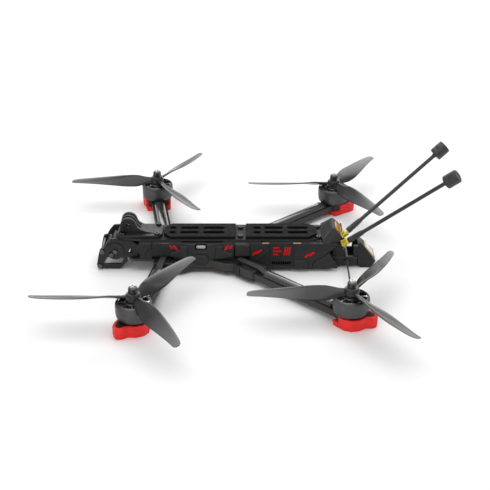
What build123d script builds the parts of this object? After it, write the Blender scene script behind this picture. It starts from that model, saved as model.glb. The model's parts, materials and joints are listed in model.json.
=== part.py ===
from build123d import *
import math
import os

# A first-person-view racing drone: a carbon-fibre X frame with four brushless
# motors on 7.5 inch three-blade propellers, faceted side covers, a tilting
# nose camera, an action-camera mount, a battery deck, twin video antennas and
# a satellite receiver behind the tail. Sizes are in millimetres.
# The nose points along +X, the left side along +Y and up along +Z. The origin
# is on the underside of the belly plate, midway between front and rear motors.

# ---- driving dimensions ----
FRONT_MOTOR = (98.6, 136.6)     # motor axis on the left side; mirrored on the right
REAR_MOTOR = (-98.6, 126.3)
FRONT_ARM_ANGLE = 81.0          # from the root to the motor, about +Z from +X
REAR_ARM_ANGLE = 135.4
PROP_RADIUS = 95.25             # 7.5 inch propeller
PROP_PITCH = 94.0               # 3.7 inch

BELLY_TOP = 2.0                 # belly plate from z 0 to here
ARM_TOP = 8.5                   # arms lie on the belly plate
MID_TOP = 11.0                  # middle plate lies on the arms
DECK_BOTTOM = 28.0              # top plate
DECK_TOP = 30.0
PAD_TOP = 32.8                  # rubber battery pads on the top plate
FOOT_BOTTOM = -3.0

ARM_WIDTH = 15.5
BELL_BOTTOM = 10.1
BELL_TOP = 26.0
BELL_RADIUS = 17.0
SHAFT_RADIUS = 2.5
SHAFT_TOP = 42.5
HUB_BOTTOM = 26.4               # propeller hub stands on the bell's boss
HUB_TOP = 34.0
RUNNING_GAP = 0.05              # between a turning shaft and its bearing

SIDE_Y = 22.8                   # outer face of the side covers
COVER_WALL = 1.2
COVER_TOP = 27.9
PAD_HALF_WIDTH = 15.8
DECK_HALF_WIDTH = 16.6

CAMERA_PIVOT = (129.1, 17.7)    # x and z of the camera's tilt axis
MOUNT_PIVOT = (116.0, 41.0)     # x and z of the action-camera mount's bolt
MOUNT_BOLT_RADIUS = 2.6
MOUNT_BASE_TOP = 33.2

os.makedirs("parts", exist_ok=True)


# ---- helpers ----
def prism(points, low, high):
    """A vertical prism on a polygon in the XY plane."""
    face = make_face(Polyline(*points, close=True))
    return Pos(0, 0, low) * extrude(face, high - low)


def side_prism(points, low, high):
    """A prism along Y on a polygon of (x, z) points."""
    face = Plane.XZ * make_face(Polyline(*points, close=True))
    return Pos(0, high, 0) * extrude(face, high - low)


def disc(x, y, radius, low, high):
    return Pos(x, y, (low + high) / 2) * Cylinder(radius, high - low)


def rod_along_y(x, z, radius, low, high):
    return Pos(x, (low + high) / 2, z) * Rot(90, 0, 0) * Cylinder(radius, high - low)


def block(x_span, y_span, z_span):
    """A box between the given limits on each axis."""
    spans = (x_span, y_span, z_span)
    middle = [(low + high) / 2 for low, high in spans]
    return Pos(*middle) * Box(*[high - low for low, high in spans])


def other_side(shape):
    return mirror(shape, Plane.XZ)


def both_sides(shape):
    return [shape, other_side(shape)]


def mirrored_outline(half):
    """Close a half outline (points with y > 0, nose first) across the middle."""
    return half + [(x, -y) for x, y in reversed(half)]


def save(name, *pieces):
    solids = [solid for piece in pieces for solid in piece.solids()]
    whole = solids[0] if len(solids) == 1 else Compound(children=solids)
    export_step(whole, f"parts/{name}.step")


# ---- the four corners: name, motor axis, arm direction, side, foot lobe side ----
CORNERS = {}
for end, (motor_x, motor_y), angle in (
    ("front", FRONT_MOTOR, FRONT_ARM_ANGLE),
    ("rear", REAR_MOTOR, REAR_ARM_ANGLE),
):
    for side, sign in (("left", 1), ("right", -1)):
        CORNERS[f"{end}_{side}"] = {
            "x": motor_x,
            "y": sign * motor_y,
            "angle": sign * angle,
            "nose_side": -sign if end == "front" else sign,
            "counter_clockwise": (end == "front") == (side == "left"),
        }


def at_corner(corner, shape, turned=True):
    """Place a shape drawn about a motor axis, its arm's outward way along +X."""
    place = Pos(corner["x"], corner["y"], 0)
    if turned:
        place = place * Rot(0, 0, corner["angle"])
    return place * shape


# ---- arms: carbon bars with a lobed motor pad ----
FOOT_WALL = 2.3
FOOT_OUTLINE = [                # outward along the arm, and towards the longer lobe's side
    (-10.5, 13.2), (1.0, 14.2), (10.5, 16.3), (17.2, 16.1), (21.9, 12.2), (21.0, 7.4),
    (16.2, 2.4), (15.4, -4.9), (11.2, -11.7), (4.0, -14.6), (-10.5, -13.2),
]


def foot_outline(nose_side):
    points = [(along, nose_side * across) for along, across in FOOT_OUTLINE]
    return make_face(Polyline(*points, close=True))


def motor_pad_outline(nose_side):
    """The arm's motor pad is the foot's outline less the foot's wall."""
    return offset(foot_outline(nose_side), -FOOT_WALL, kind=Kind.INTERSECTION)


SCREW_CIRCLE = 9.5              # four M3 screws hold each motor
SCREW_SPOTS = [
    (SCREW_CIRCLE * math.cos(math.radians(a)), SCREW_CIRCLE * math.sin(math.radians(a)))
    for a in (45, 135, 225, 315)
]
FRONT_ARM_LENGTH = 119.0
REAR_ARM_LENGTH = 160.0
ARM_BOLTS = [(80.9, 25.0), (-8.0, 37.0), (5.1, 24.0)]   # countersunk, up through the arm roots
BOLT_SPOTS = [(x, s * y) for x, y in ARM_BOLTS for s in (1, -1)]

for name, corner in CORNERS.items():
    length = FRONT_ARM_LENGTH if "front" in name else REAR_ARM_LENGTH
    half_width = ARM_WIDTH / 2
    bar = prism(
        [(0, half_width), (0, -half_width), (-length, -half_width), (-length, half_width)],
        BELLY_TOP, ARM_TOP,
    )
    pad = Pos(0, 0, BELLY_TOP) * extrude(
        motor_pad_outline(corner["nose_side"]), ARM_TOP - BELLY_TOP)
    arm = bar + pad - disc(0, 0, 4.0, 0, 10)
    for x, y in SCREW_SPOTS:
        arm -= disc(x, y, 1.6, 0, 10)
    arm = at_corner(corner, arm)
    for x, y in BOLT_SPOTS:
        arm -= disc(x, y, 1.5, 0, 10)
    save(f"arm_{name}", arm)

# ---- belly and middle plates, which clamp the arm roots ----
WAIST = [
    (90.0, 31.5), (62.7, 31.5), (52.1, 25.3), (33.1, 25.3), (18.2, 32.7),
    (10.9, 32.7), (-1.1, 45.6), (-8.5, 50.6), (-21.8, 37.1), (-5.6, 21.0),
]
BELLY_HALF = [(90.0, 21.0)] + WAIST + [(-89.0, 21.0)]
MID_HALF = [(116.0, 17.0), (110.5, 22.4), (90.0, 22.4)] + WAIST + [(-89.0, 21.0)]
POSTS = [(87.0, 11.5), (3.7, 10.1), (-74.5, 12.0)]
POST_SPOTS = [(x, s * y) for x, y in POSTS for s in (1, -1)]
POST_RADIUS = 2.5

# Plastic keys fill the gap between plates at the root of each rear arm.
key = Pos(7.1, 36.1, 0) * Rot(0, 0, 132.9) * block((-4.3, 4.3), (-1.0, 1.4), (0, MID_TOP))
key_seat = Pos(7.1, 36.1, 0) * Rot(0, 0, 132.9) * block((-4.3, 4.3), (-1.0, 9), (-1, 20))
save("arm_root_keys", *both_sides(key))


def drilled(plate, spots, radius, low, high):
    for x, y in spots:
        plate -= disc(x, y, radius, low, high)
    return plate


belly = prism(mirrored_outline(BELLY_HALF), 0, BELLY_TOP)
belly = chamfer(belly.edges().group_by(Axis.Z)[0], 0.3)
belly -= prism([(58, 9), (58, -9), (34, -6), (34, 6)], -1, 5)
belly -= prism([(-30, 8), (-62, 11), (-62, -11), (-30, -8)], -1, 5)
countersink = Pos(0, 0, 0.8) * Cone(2.9, 1.5, 1.6)
for x, y in BOLT_SPOTS + POST_SPOTS:
    belly -= Pos(x, y, 0) * countersink + disc(x, y, 1.5, 0, 5)
middle = prism(mirrored_outline(MID_HALF), ARM_TOP, MID_TOP)
middle = chamfer(middle.edges().group_by(Axis.Z)[-1], 0.3)
middle = drilled(middle, POST_SPOTS + BOLT_SPOTS, 1.5, 8, 12)
for seat in both_sides(key_seat):
    belly -= seat
    middle -= seat
save("middle_plate", middle)

# The belly plate is built up to the middle plate between the front and rear arms' roots.
CORE_HALF = [
    (70.8, 30.9), (62.5, 30.9), (51.9, 24.7), (33.3, 24.7), (18.4, 32.1), (10.7, 32.1),
    (-1.4, 45.1), (-8.6, 49.9), (-12.0, 46.3), (24.0, 10.0), (70.8, 9.5),
]
core_half = prism(CORE_HALF, BELLY_TOP, ARM_TOP) - key_seat
core_half -= at_corner(CORNERS["rear_left"], block(
    (-175, 0), (-ARM_WIDTH / 2 - 0.2, ARM_WIDTH / 2 + 0.2), (0, 20)))
for riser in both_sides(core_half):
    belly += riser
save("belly_plate", belly)

# ---- feet: red rubber shoes that wrap the motor end of each arm ----
FOOT_FLOOR_SCALE = 0.97
FOOT_WALL_START = -3.0          # nearer the body than this the foot has no wall
feet = []
for corner in CORNERS.values():
    pad_outline = motor_pad_outline(corner["nose_side"])
    rim_outline = foot_outline(corner["nose_side"])
    rim = Pos(0, 0, BELLY_TOP) * extrude(rim_outline, ARM_TOP - BELLY_TOP)
    floor_face = Pos(0, 0, FOOT_BOTTOM) * scale(rim_outline, FOOT_FLOOR_SCALE)
    floor = loft([floor_face, Pos(0, 0, BELLY_TOP) * rim_outline], ruled=True)
    hollow = Pos(0, 0, BELLY_TOP) * extrude(pad_outline, 20)
    hollow += block((-40, 0), (-ARM_WIDTH / 2, ARM_WIDTH / 2), (BELLY_TOP, 20))
    foot = rim + floor - hollow - block((-40, -10.5), (-30, 30), (-20, 20))
    foot -= block((-40, FOOT_WALL_START), (-30, 30), (BELLY_TOP, 20))
    foot -= disc(0, 0, 4.0, -10, 10)
    for x, y in SCREW_SPOTS:
        foot -= disc(x, y, 3.1, -10, 10)
    feet.append(at_corner(corner, foot))
save("feet", *feet)

# ---- motors ----
BASE_TOP = 9.8
BEARING_TUBE_RADIUS = 4.6
BEARING_TOP = 23.0
STATOR_LOW = 11.5
STATOR_HIGH = 21.5
STATOR_RADIUS = 13.9
TEETH = 12
TOOTH_WIDTH = 1.6

base = disc(0, 0, 12.4, ARM_TOP, BASE_TOP)
for angle in range(0, 360, 90):
    base -= Rot(0, 0, angle) * Pos(9.3, 0, BASE_TOP) * Box(4.0, 5.4, 4.0)
base += disc(0, 0, BEARING_TUBE_RADIUS, ARM_TOP, BEARING_TOP)
base -= disc(0, 0, SHAFT_RADIUS + RUNNING_GAP, 0, 40)

core = disc(0, 0, 6.6, STATOR_LOW, STATOR_HIGH)
windings = []
for tooth_number in range(TEETH):
    turn = Rot(0, 0, tooth_number * 360 / TEETH)
    tooth = block((6, 13.0), (-TOOTH_WIDTH / 2, TOOTH_WIDTH / 2), (STATOR_LOW, STATOR_HIGH))
    shoe = block((12.3, 15), (-2.8, 2.8), (STATOR_LOW, STATOR_HIGH))
    shoe &= disc(0, 0, STATOR_RADIUS, STATOR_LOW, STATOR_HIGH)
    core += turn * (tooth + shoe)
    coil_half = 1.75
    coil = block((7.0, 12.1), (-coil_half, coil_half), (STATOR_LOW - 0.8, STATOR_HIGH + 0.8))
    coil = fillet(coil.edges().filter_by(Axis.X), 0.7)
    coil -= block((5, 14), (-TOOTH_WIDTH / 2, TOOTH_WIDTH / 2), (STATOR_LOW, STATOR_HIGH))
    windings.append(turn * coil)
core -= disc(0, 0, BEARING_TUBE_RADIUS, 0, 40)

motor_screw = disc(0, 0, 1.45, 1.9, BASE_TOP - 0.2)
motor_screw += disc(0, 0, 2.8, 0.2, 1.9)
motor_screw -= disc(0, 0, 1.0, 0, 1.1)
motor_screws = [
    at_corner(corner, Pos(x, y, 0) * motor_screw)
    for corner in CORNERS.values() for x, y in SCREW_SPOTS
]
for x, y in SCREW_SPOTS:
    base -= disc(x, y, 1.45, 0, 20)

save("motor_bases", *[at_corner(c, base) for c in CORNERS.values()])
save("stator_cores", *[at_corner(c, core, turned=False) for c in CORNERS.values()])
save("stator_windings", *[
    at_corner(c, coil, turned=False) for c in CORNERS.values() for coil in windings])

# The turning bell: a rounded cup with six windows in its top and magnets inside.
MAGNET_INNER = 14.3
MAGNET_OUTER = 15.6
SPOKES = 6
cup_section = Polyline(
    (14.3, BELL_BOTTOM), (MAGNET_OUTER, BELL_BOTTOM + 1.1), (MAGNET_OUTER, 23.4),
    (6.4, 23.4), (6.4, 23.2), (SHAFT_RADIUS, 23.2), (SHAFT_RADIUS, HUB_BOTTOM),
    (7.2, HUB_BOTTOM), (7.2, BELL_TOP), (BELL_RADIUS - 1.4, BELL_TOP),
    (BELL_RADIUS - 0.6, BELL_TOP - 0.5), (BELL_RADIUS - 0.1, BELL_TOP - 1.6),
    (BELL_RADIUS, BELL_TOP - 3.0), (BELL_RADIUS, BELL_BOTTOM + 7.4),
    (BELL_RADIUS - 0.1, BELL_BOTTOM + 5.1), (BELL_RADIUS - 0.4, BELL_BOTTOM + 3.1),
    (BELL_RADIUS - 0.9, BELL_BOTTOM + 1.5), (BELL_RADIUS - 1.6, BELL_BOTTOM + 0.4),
    (BELL_RADIUS - 2.3, BELL_BOTTOM), close=True,
)
bell = revolve(Plane.XZ * make_face(cup_section), Axis.Z)
window = disc(0, 0, 14.2, 22, 27) - disc(0, 0, 8.0, 21, 28)
for spoke_number in range(SPOKES):
    window -= Rot(0, 0, spoke_number * 360 / SPOKES) * block((5, 17), (-1.5, 1.5), (21, 28))
bell -= window
magnets = []
for magnet_number in range(14):
    bar = disc(0, 0, MAGNET_OUTER, STATOR_LOW, STATOR_HIGH)
    bar -= disc(0, 0, MAGNET_INNER, 0, 40)
    bar &= block((13, 17), (-2.7, 2.7), (0, 40))
    magnets.append(Rot(0, 0, magnet_number * 360 / 14) * bar)
shaft = disc(0, 0, SHAFT_RADIUS, 9.0, SHAFT_TOP)
shaft = chamfer(shaft.edges().group_by(Axis.Z)[-1], 0.5)

# ---- propeller: three twisted blades on a round hub, drawn turning anticlockwise ----
BLADE_STATIONS = [              # radius, chord, thickness, how far the chord is swept back
    (5.5, 8.4, 3.4, 0.0), (12.0, 10.2, 3.0, 0.2), (22.0, 15.4, 2.5, 0.6),
    (35.0, 18.0, 2.1, 0.8), (50.0, 16.6, 1.8, 0.8), (65.0, 14.0, 1.5, 0.8),
    (80.0, 10.9, 1.2, 1.2), (90.0, 8.6, 1.0, 2.0), (PROP_RADIUS, 6.4, 0.8, 3.2),
]
BLADE_HEIGHT = 29.6
STEEPEST = 33.0                 # the root keeps within the hub


def blade_section(radius, chord, thickness, sweep):
    pitch = math.degrees(math.atan(PROP_PITCH / (2 * math.pi * radius)))
    pitch = min(pitch, STEEPEST)
    half = chord / 2
    upper = Spline((-half, 0), (-half * 0.3, thickness * 0.62), (half * 0.55, thickness * 0.6),
                   (half, 0))
    lower = Spline((half, 0), (half * 0.5, -thickness * 0.3), (-half * 0.4, -thickness * 0.22),
                   (-half, 0))
    section_plane = Plane(origin=(radius, -sweep, BLADE_HEIGHT), x_dir=(0, 1, 0), z_dir=(1, 0, 0))
    return section_plane * Rot(0, 0, pitch) * make_face(upper + lower)


blade = loft([blade_section(*station) for station in BLADE_STATIONS])
hub = disc(0, 0, 7.0, HUB_BOTTOM, HUB_TOP)
hub = chamfer(hub.edges().group_by(Axis.Z)[-1], 0.8)
propeller = hub
for blade_number in range(3):
    propeller += Rot(0, 0, blade_number * 120) * blade
propeller -= disc(0, 0, SHAFT_RADIUS, 20, 40)

# A flanged lock nut holds the propeller down.
nut = disc(0, 0, 5.6, HUB_TOP, HUB_TOP + 1.0)
nut += Pos(0, 0, HUB_TOP + 1.0) * extrude(RegularPolygon(4.6, 6), 4.2)
nut += disc(0, 0, 3.9, HUB_TOP + 5.2, HUB_TOP + 6.6)
nut = chamfer(nut.edges().group_by(Axis.Z)[-1], 0.6)
nut -= disc(0, 0, SHAFT_RADIUS, 20, 50)

for name, corner in CORNERS.items():
    turned_propeller = propeller if corner["counter_clockwise"] else other_side(propeller)
    save(f"bell_{name}", *[at_corner(corner, piece, turned=False)
                           for piece in [bell, shaft] + magnets])
    save(f"propeller_{name}", at_corner(corner, turned_propeller, turned=False))
    save(f"prop_nut_{name}", at_corner(corner, nut, turned=False))

# ---- motor leads under half-octagon arm covers ----
FRONT_COVER_SPAN = (-92.0, -21.0)   # along the arm from the motor axis
REAR_COVER_SPAN = (-106.0, -21.0)
COVER_HALF = 5.6
COVER_RISE = 4.1
LEAD_LIFT = 0.15                # the braided sleeve lies just clear of the carbon
LEAD_THICK = 2.6
LEAD_HALF_WIDTH = 3.3
arm_covers = []
clips = []
leads = []
for name, corner in CORNERS.items():
    start, stop = FRONT_COVER_SPAN if "front" in name else REAR_COVER_SPAN
    half_octagon = [
        (-COVER_HALF, 0), (-COVER_HALF, 1.6), (-COVER_HALF + 2.5, COVER_RISE),
        (COVER_HALF - 2.5, COVER_RISE), (COVER_HALF, 1.6), (COVER_HALF, 0),
        (COVER_HALF - 0.8, 0), (COVER_HALF - 0.8, 1.3), (COVER_HALF - 2.8, COVER_RISE - 0.8),
        (-COVER_HALF + 2.8, COVER_RISE - 0.8), (-COVER_HALF + 0.8, 1.3), (-COVER_HALF + 0.8, 0),
    ]
    section_plane = Plane(origin=(start, 0, ARM_TOP), x_dir=(0, 1, 0), z_dir=(1, 0, 0))
    shell = extrude(section_plane * make_face(Polyline(*half_octagon, close=True)), stop - start)
    arm_covers.append(at_corner(corner, shell))
    clip = block((stop + 0.1, stop + 2.2), (-6.2, 6.2), (ARM_TOP, ARM_TOP + 3.6))
    clip = chamfer(clip.edges().filter_by(Axis.X).group_by(Axis.Z)[-1], 1.6)
    clip -= block((stop - 1, stop + 4), (-3.6, 3.6), (0, ARM_TOP + 2.9))
    clips.append(at_corner(corner, clip))
    body_end = start - (26.0 if "front" in name else 39.0)
    under = MID_TOP + LEAD_LIFT
    low_under = ARM_TOP + LEAD_LIFT
    sleeve_view = [
        (body_end, under), (start - 10.5, under), (start - 3.5, low_under),
        (stop + 3.0, low_under), (stop + 3.0, low_under + LEAD_THICK),
        (start - 3.0, low_under + LEAD_THICK), (start - 10.0, under + LEAD_THICK),
        (body_end, under + LEAD_THICK),
    ]
    sleeve = side_prism(sleeve_view, -LEAD_HALF_WIDTH, LEAD_HALF_WIDTH)
    leads.append(at_corner(corner, sleeve))
    for wire_y in (-2.1, 0.0, 2.1):
        wire = Pos(-15.3, wire_y, ARM_TOP + 0.65) * Rot(0, 90, 0) * Cylinder(0.6, 5.2)
        leads.append(at_corner(corner, wire))
save("arm_covers", *arm_covers)
save("arm_cover_clips", *clips)
save("motor_leads", *leads)

# ---- top plate, battery pads, posts and screws ----
DECK_HALF = [
    (126.0, 12.0), (121.0, 15.0), (100.0, 16.6), (96.0, DECK_HALF_WIDTH),
    (-66.0, DECK_HALF_WIDTH), (-78.0, 12.0),
]
deck = prism(mirrored_outline(DECK_HALF), DECK_BOTTOM, DECK_TOP)
MOUNT_FRONT_SCREWS = [(121.0, 11.7), (121.0, -11.7)]
deck = drilled(deck, POST_SPOTS + MOUNT_FRONT_SCREWS, 1.5, 20, 40)


def slanted_slot(front_x, rear_x, row):
    """A six-sided slot whose ends lean the same way as the pad's."""
    half = 2.6
    points = [
        (front_x, row), (front_x - 2.0, row + half), (rear_x + 2.0, row + half),
        (rear_x, row), (rear_x + 2.0, row - half), (front_x - 2.0, row - half),
    ]
    return prism(points, DECK_TOP - 1, PAD_TOP + 1)


FRONT_PAD = [(80.4, 7.5), (73.8, PAD_HALF_WIDTH), (8.6, PAD_HALF_WIDTH)]
REAR_PAD = [(-1.8, PAD_HALF_WIDTH), (-65.0, PAD_HALF_WIDTH), (-73.0, 7.5)]
FRONT_SLOTS = [(75.4, 68.1), (64.5, 45.2), (41.7, 19.4)]
REAR_SLOTS = [(-9.0, -17.0), (-20.0, -39.5), (-43.0, -64.5)]
SLOT_ROW = 5.3
for pad_name, outline, slots in (
    ("battery_pad_front", FRONT_PAD, FRONT_SLOTS),
    ("battery_pad_rear", REAR_PAD, REAR_SLOTS),
):
    pad = prism(mirrored_outline(outline), DECK_TOP, PAD_TOP)
    for front_x, rear_x in slots:
        for row in (SLOT_ROW, -SLOT_ROW):
            pad -= slanted_slot(front_x, rear_x, row)
    save(pad_name, chamfer(pad.edges().group_by(Axis.Z)[-1], 0.35))
save("top_plate", deck)

posts = []
screws = []
for x, y in POST_SPOTS:
    post = disc(x, y, POST_RADIUS, MID_TOP, DECK_BOTTOM) - disc(x, y, 1.5, 0, 50)
    posts.append(post)
for x, y in POST_SPOTS + MOUNT_FRONT_SCREWS:
    under_head = MOUNT_BASE_TOP if x > 80 else DECK_TOP
    screw = disc(x, y, 1.5, DECK_BOTTOM - 4, under_head)
    head = disc(x, y, 2.8, under_head, under_head + 2.0)
    head = fillet(head.edges().group_by(Axis.Z)[-1], 0.9)
    socket = Pos(x, y, under_head + 0.9) * extrude(RegularPolygon(1.2, 6), 4)
    screws.append(screw + head - socket)
for x, y in POST_SPOTS:
    low_screw = disc(x, y, 1.5, 0.5, MID_TOP + 4) + Pos(x, y, 0) * countersink
    screws.append(low_screw - Pos(x, y, -1) * extrude(RegularPolygon(1.2, 6), 2))
for x, y in BOLT_SPOTS:
    bolt = disc(x, y, 1.5, 0.5, MID_TOP - 0.2) + Pos(x, y, 0) * countersink
    screws.append(bolt - Pos(x, y, -1) * extrude(RegularPolygon(1.2, 6), 2))

# ---- side covers: four faceted pieces on each side ----
def wall(outer, bottom, top):
    """An upright wall one cover thickness deep behind an outer (x, y) line."""
    inner = [(x, y - COVER_WALL) for x, y in reversed(outer)]
    return prism(outer + inner, bottom, top)


def shoulder(outer):
    """The cover's flat top, running in under the top plate's edge."""
    inner = [(x, DECK_HALF_WIDTH - 1.8) for x, _ in reversed(outer)]
    return prism(outer + inner, COVER_TOP - 1.1, COVER_TOP)


FRONT_HALF_LINE = [
    (107.4, SIDE_Y), (65.0, SIDE_Y), (51.3, 24.8), (34.5, 24.8), (20.0, SIDE_Y), (10.4, SIDE_Y)]
REAR_HALF_LINE = [(-6.2, SIDE_Y), (-94.0, SIDE_Y)]
DECK_END = -78.0

# Side views, as (x, z) outlines, of where each cover starts and stops.
FRONT_COVER_VIEW = [
    (91.9, 40.0), (91.9, 22.7), (98.1, 18.6), (98.1, 5.0), (103.4, 5.0), (103.9, 16.4),
    (107.4, 19.5), (107.4, 24.8), (103.6, 28.3), (103.6, 40.0)]
CENTRE_COVER_VIEW = [
    (91.5, 40.0), (91.5, 22.5), (97.7, 18.4), (97.7, 5.0), (0.0, 5.0), (0.0, 40.0)]
REAR_COVER_VIEW = [
    (0.0, 40.0), (DECK_END - 16, 40.0), (-94.0, 27.6), (-87.4, 20.9), (-81.1, 16.3),
    (-76.9, 12.4), (-73.4, 11.6), (-68.4, 6.0), (-68.4, 0.0), (-18.6, 0.0), (-8.6, MID_TOP),
    (0.0, MID_TOP)]
TAIL_COVER_VIEW = [
    (-68.8, 0.0), (-68.8, 5.6), (-73.7, 11.0), (-77.2, 11.8), (-81.4, 15.7), (-84.8, 18.0),
    (-89.7, 9.8), (-93.7, 4.2), (-93.7, 0.0)]
PANEL_LINE = [(-74.7, 29.0), (-74.7, 24.6), (-63.9, 13.6)]


# Raised facets and recesses, as (x, z) outlines in the same view.
NOSE_SIDE_FACET = [
    (56.5, 26.4), (63.6, 26.4), (63.6, 22.6), (73.8, 18.0), (73.8, 14.6), (62.0, 11.6),
    (54.5, 11.6)]
TAIL_SIDE_FACET = [
    (27.6, 26.4), (21.0, 26.4), (21.0, 21.4), (10.8, 18.0), (10.8, 14.6), (21.8, 11.6),
    (30.1, 11.6)]
COLUMN_PAD = [
    (37.9, 17.0), (47.9, 17.0), (50.7, 14.2), (50.7, 9.4), (47.9, 6.5), (37.9, 6.5),
    (35.0, 9.4), (35.0, 14.2)]
REAR_FRONT_FACET = [(-10.6, 11.4), (-22.6, 21.6), (-24.2, 21.6), (-24.2, 0.9), (-19.2, 0.9)]
REAR_BLOCK = [(-50.4, 0.5), (-50.4, 10.2), (-61.5, 10.2), (-64.4, 6.4), (-64.4, 0.5)]
LABEL_SPAN = (-48.1, -25.6)


def raised(outline, low, high, edge):
    """A raised panel whose outer rim is chamfered."""
    panel = side_prism(outline, low, high)
    return chamfer(panel.faces().sort_by(Axis.Y)[-1].edges(), edge)


def side_view(outline):
    """Everything on the left side that is inside this side-view outline."""
    return side_prism(outline, 10, 40)


front_half = wall(FRONT_HALF_LINE, MID_TOP, COVER_TOP) + shoulder(FRONT_HALF_LINE)
rear_half = wall(REAR_HALF_LINE, 0.5, COVER_TOP)
rear_half += shoulder([(-6.2, SIDE_Y), (DECK_END, SIDE_Y)])

front_cover = front_half & side_view(FRONT_COVER_VIEW)
lead_opening = block((70, 92), (20, 30), (MID_TOP - 1, MID_TOP + 3.2))

column_pad = raised(COLUMN_PAD, 25.4, 26.9, 0.9)
column_pad += block((36.5, 49.2), (24.0, 25.6), (11.4, 16.4))
centre_cover = (front_half & side_view(CENTRE_COVER_VIEW)) + column_pad
for facet in (NOSE_SIDE_FACET, TAIL_SIDE_FACET):
    centre_cover += raised(facet, 22.4, 25.2, 1.0)
centre_cover -= block((21.2, 62.0), (14.0, 19.4), (26.0, 29.0))
centre_cover -= block((36.6, 48.8), (24.1, 26.0), (22.6, 30.0))
port_plane = Plane(origin=(42.7, 17.4, 25.4), x_dir=(1, 0, 0), z_dir=(0, 1, 0))
centre_cover -= extrude(port_plane * SlotOverall(9.8, 4.0), 8.0) + lead_opening

rear_cover = rear_half & side_view(REAR_COVER_VIEW)
rear_cover += raised(REAR_FRONT_FACET, 22.4, 23.7, 0.7)
rear_cover += raised(REAR_BLOCK, 22.4, 24.4, 0.8)
label_low, label_high = LABEL_SPAN
rear_cover -= block(LABEL_SPAN, (SIDE_Y - 0.6, 26), (3.4, 28.5))
for edge in ((label_high, label_high + 0.9), (label_low - 1.1, label_low)):
    rear_cover -= block(edge, (SIDE_Y - 0.9, 26), (3.4, 28.5))
for vent_number in range(9):
    vent_x = -28.4 - 2.2 * vent_number
    rear_cover -= block((vent_x - 0.8, vent_x + 0.8), (20, 26), (4.6, 8.3))
for front_x, rear_x in ((-17.1, -20.9), (-52.9, -56.8)):
    rear_cover -= block((rear_x, front_x), (14.0, 20.3), (26.0, 30.0))
for (x1, z1), (x2, z2) in zip(PANEL_LINE, PANEL_LINE[1:]):
    half = 0.25
    rear_cover -= side_prism(
        [(x1 - half, z1), (x1 + half, z1), (x2 + half, z2), (x2 - half, z2)],
        SIDE_Y - 0.4, SIDE_Y + 1)
tail_cover = rear_half & side_view(TAIL_COVER_VIEW)
save("front_covers", *both_sides(front_cover))
for cover_name, left_shape in (("centre_cover", centre_cover), ("rear_cover", rear_cover)):
    for side, shape in zip(("left", "right"), both_sides(left_shape)):
        save(f"{cover_name}_{side}", shape)
save("tail_covers", *both_sides(tail_cover))

# Panels between the centre and rear covers.
PILLAR_VIEW = [(-5.8, 14.2), (9.0, 14.2), (9.0, COVER_TOP), (-5.8, COVER_TOP)]
pillar = raised(PILLAR_VIEW, 21.6, 24.2, 1.0)
pillar += block((-5.8, 9.0), (DECK_HALF_WIDTH - 1.8, 22.0), (COVER_TOP - 1.1, COVER_TOP))
save("side_pillars", *both_sides(pillar))

LIGHT_SPANS = [(-25.0, -18.2), (-56.8, -49.0)]
light_boards = [
    block(span, (21.0, 22.4), (COVER_TOP, COVER_TOP + 0.7)) for span in LIGHT_SPANS]
save("light_boards", *[piece for board in light_boards for piece in both_sides(board)])

# Charging and set-up port in the column's recess, on a small board.
port_shell = extrude(port_plane * SlotOverall(9.2, 3.4), 6.8)
port_shell -= Pos(0, 1.6, 0) * extrude(port_plane * SlotOverall(8.4, 2.6), 6.8)
port_tongue = block((39.4, 46.0), (19.1, 23.4), (25.05, 25.75))
save("usb_port", port_shell + port_tongue)

# ---- action-camera mount: three fingers on a screwed-down base ----
mount_x, mount_z = MOUNT_PIVOT
FINGER_RADIUS = 8.0
BODY_HALF = 8.6
base_outline = [(127.0, 9.6), (122.0, 14.6), (86.0, 14.8), (82.0, 9.6)]
mount_base = prism(mirrored_outline(base_outline), DECK_TOP, MOUNT_BASE_TOP)
mount_base = chamfer(mount_base.edges().group_by(Axis.Z)[-1], 0.6)
sweep_line = [
    (83.0, 33.0), (92.0, 33.6), (98.0, 34.6), (103.0, 36.6), (106.4, 39.0), (108.2, 42.4),
    (123.4, 43.6), (124.0, 41.0), (124.4, 36.0), (126.0, 33.0),
]
profile = make_face(Polyline(*sweep_line, close=True))
profile += Pos(mount_x, mount_z) * Circle(FINGER_RADIUS)
mount_body = Pos(0, BODY_HALF, 0) * extrude(Plane.XZ * profile, 2 * BODY_HALF)
for slot_y in (3.1, -3.1):
    mount_body -= block((104.0, 130.0), (slot_y - 1.6, slot_y + 1.6), (34.0, 60.0))
for low, high in ((7.2, 12.0), (-12.0, -7.2)):
    mount_body -= rod_along_y(mount_x, mount_z, 5.5, low, high)
mount_body -= rod_along_y(mount_x, mount_z, MOUNT_BOLT_RADIUS, -20, 20)
camera_mount = drilled(mount_base + mount_body, POST_SPOTS[:2] + MOUNT_FRONT_SCREWS, 1.5, 20, 40)
save("action_camera_mount", camera_mount)

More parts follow.
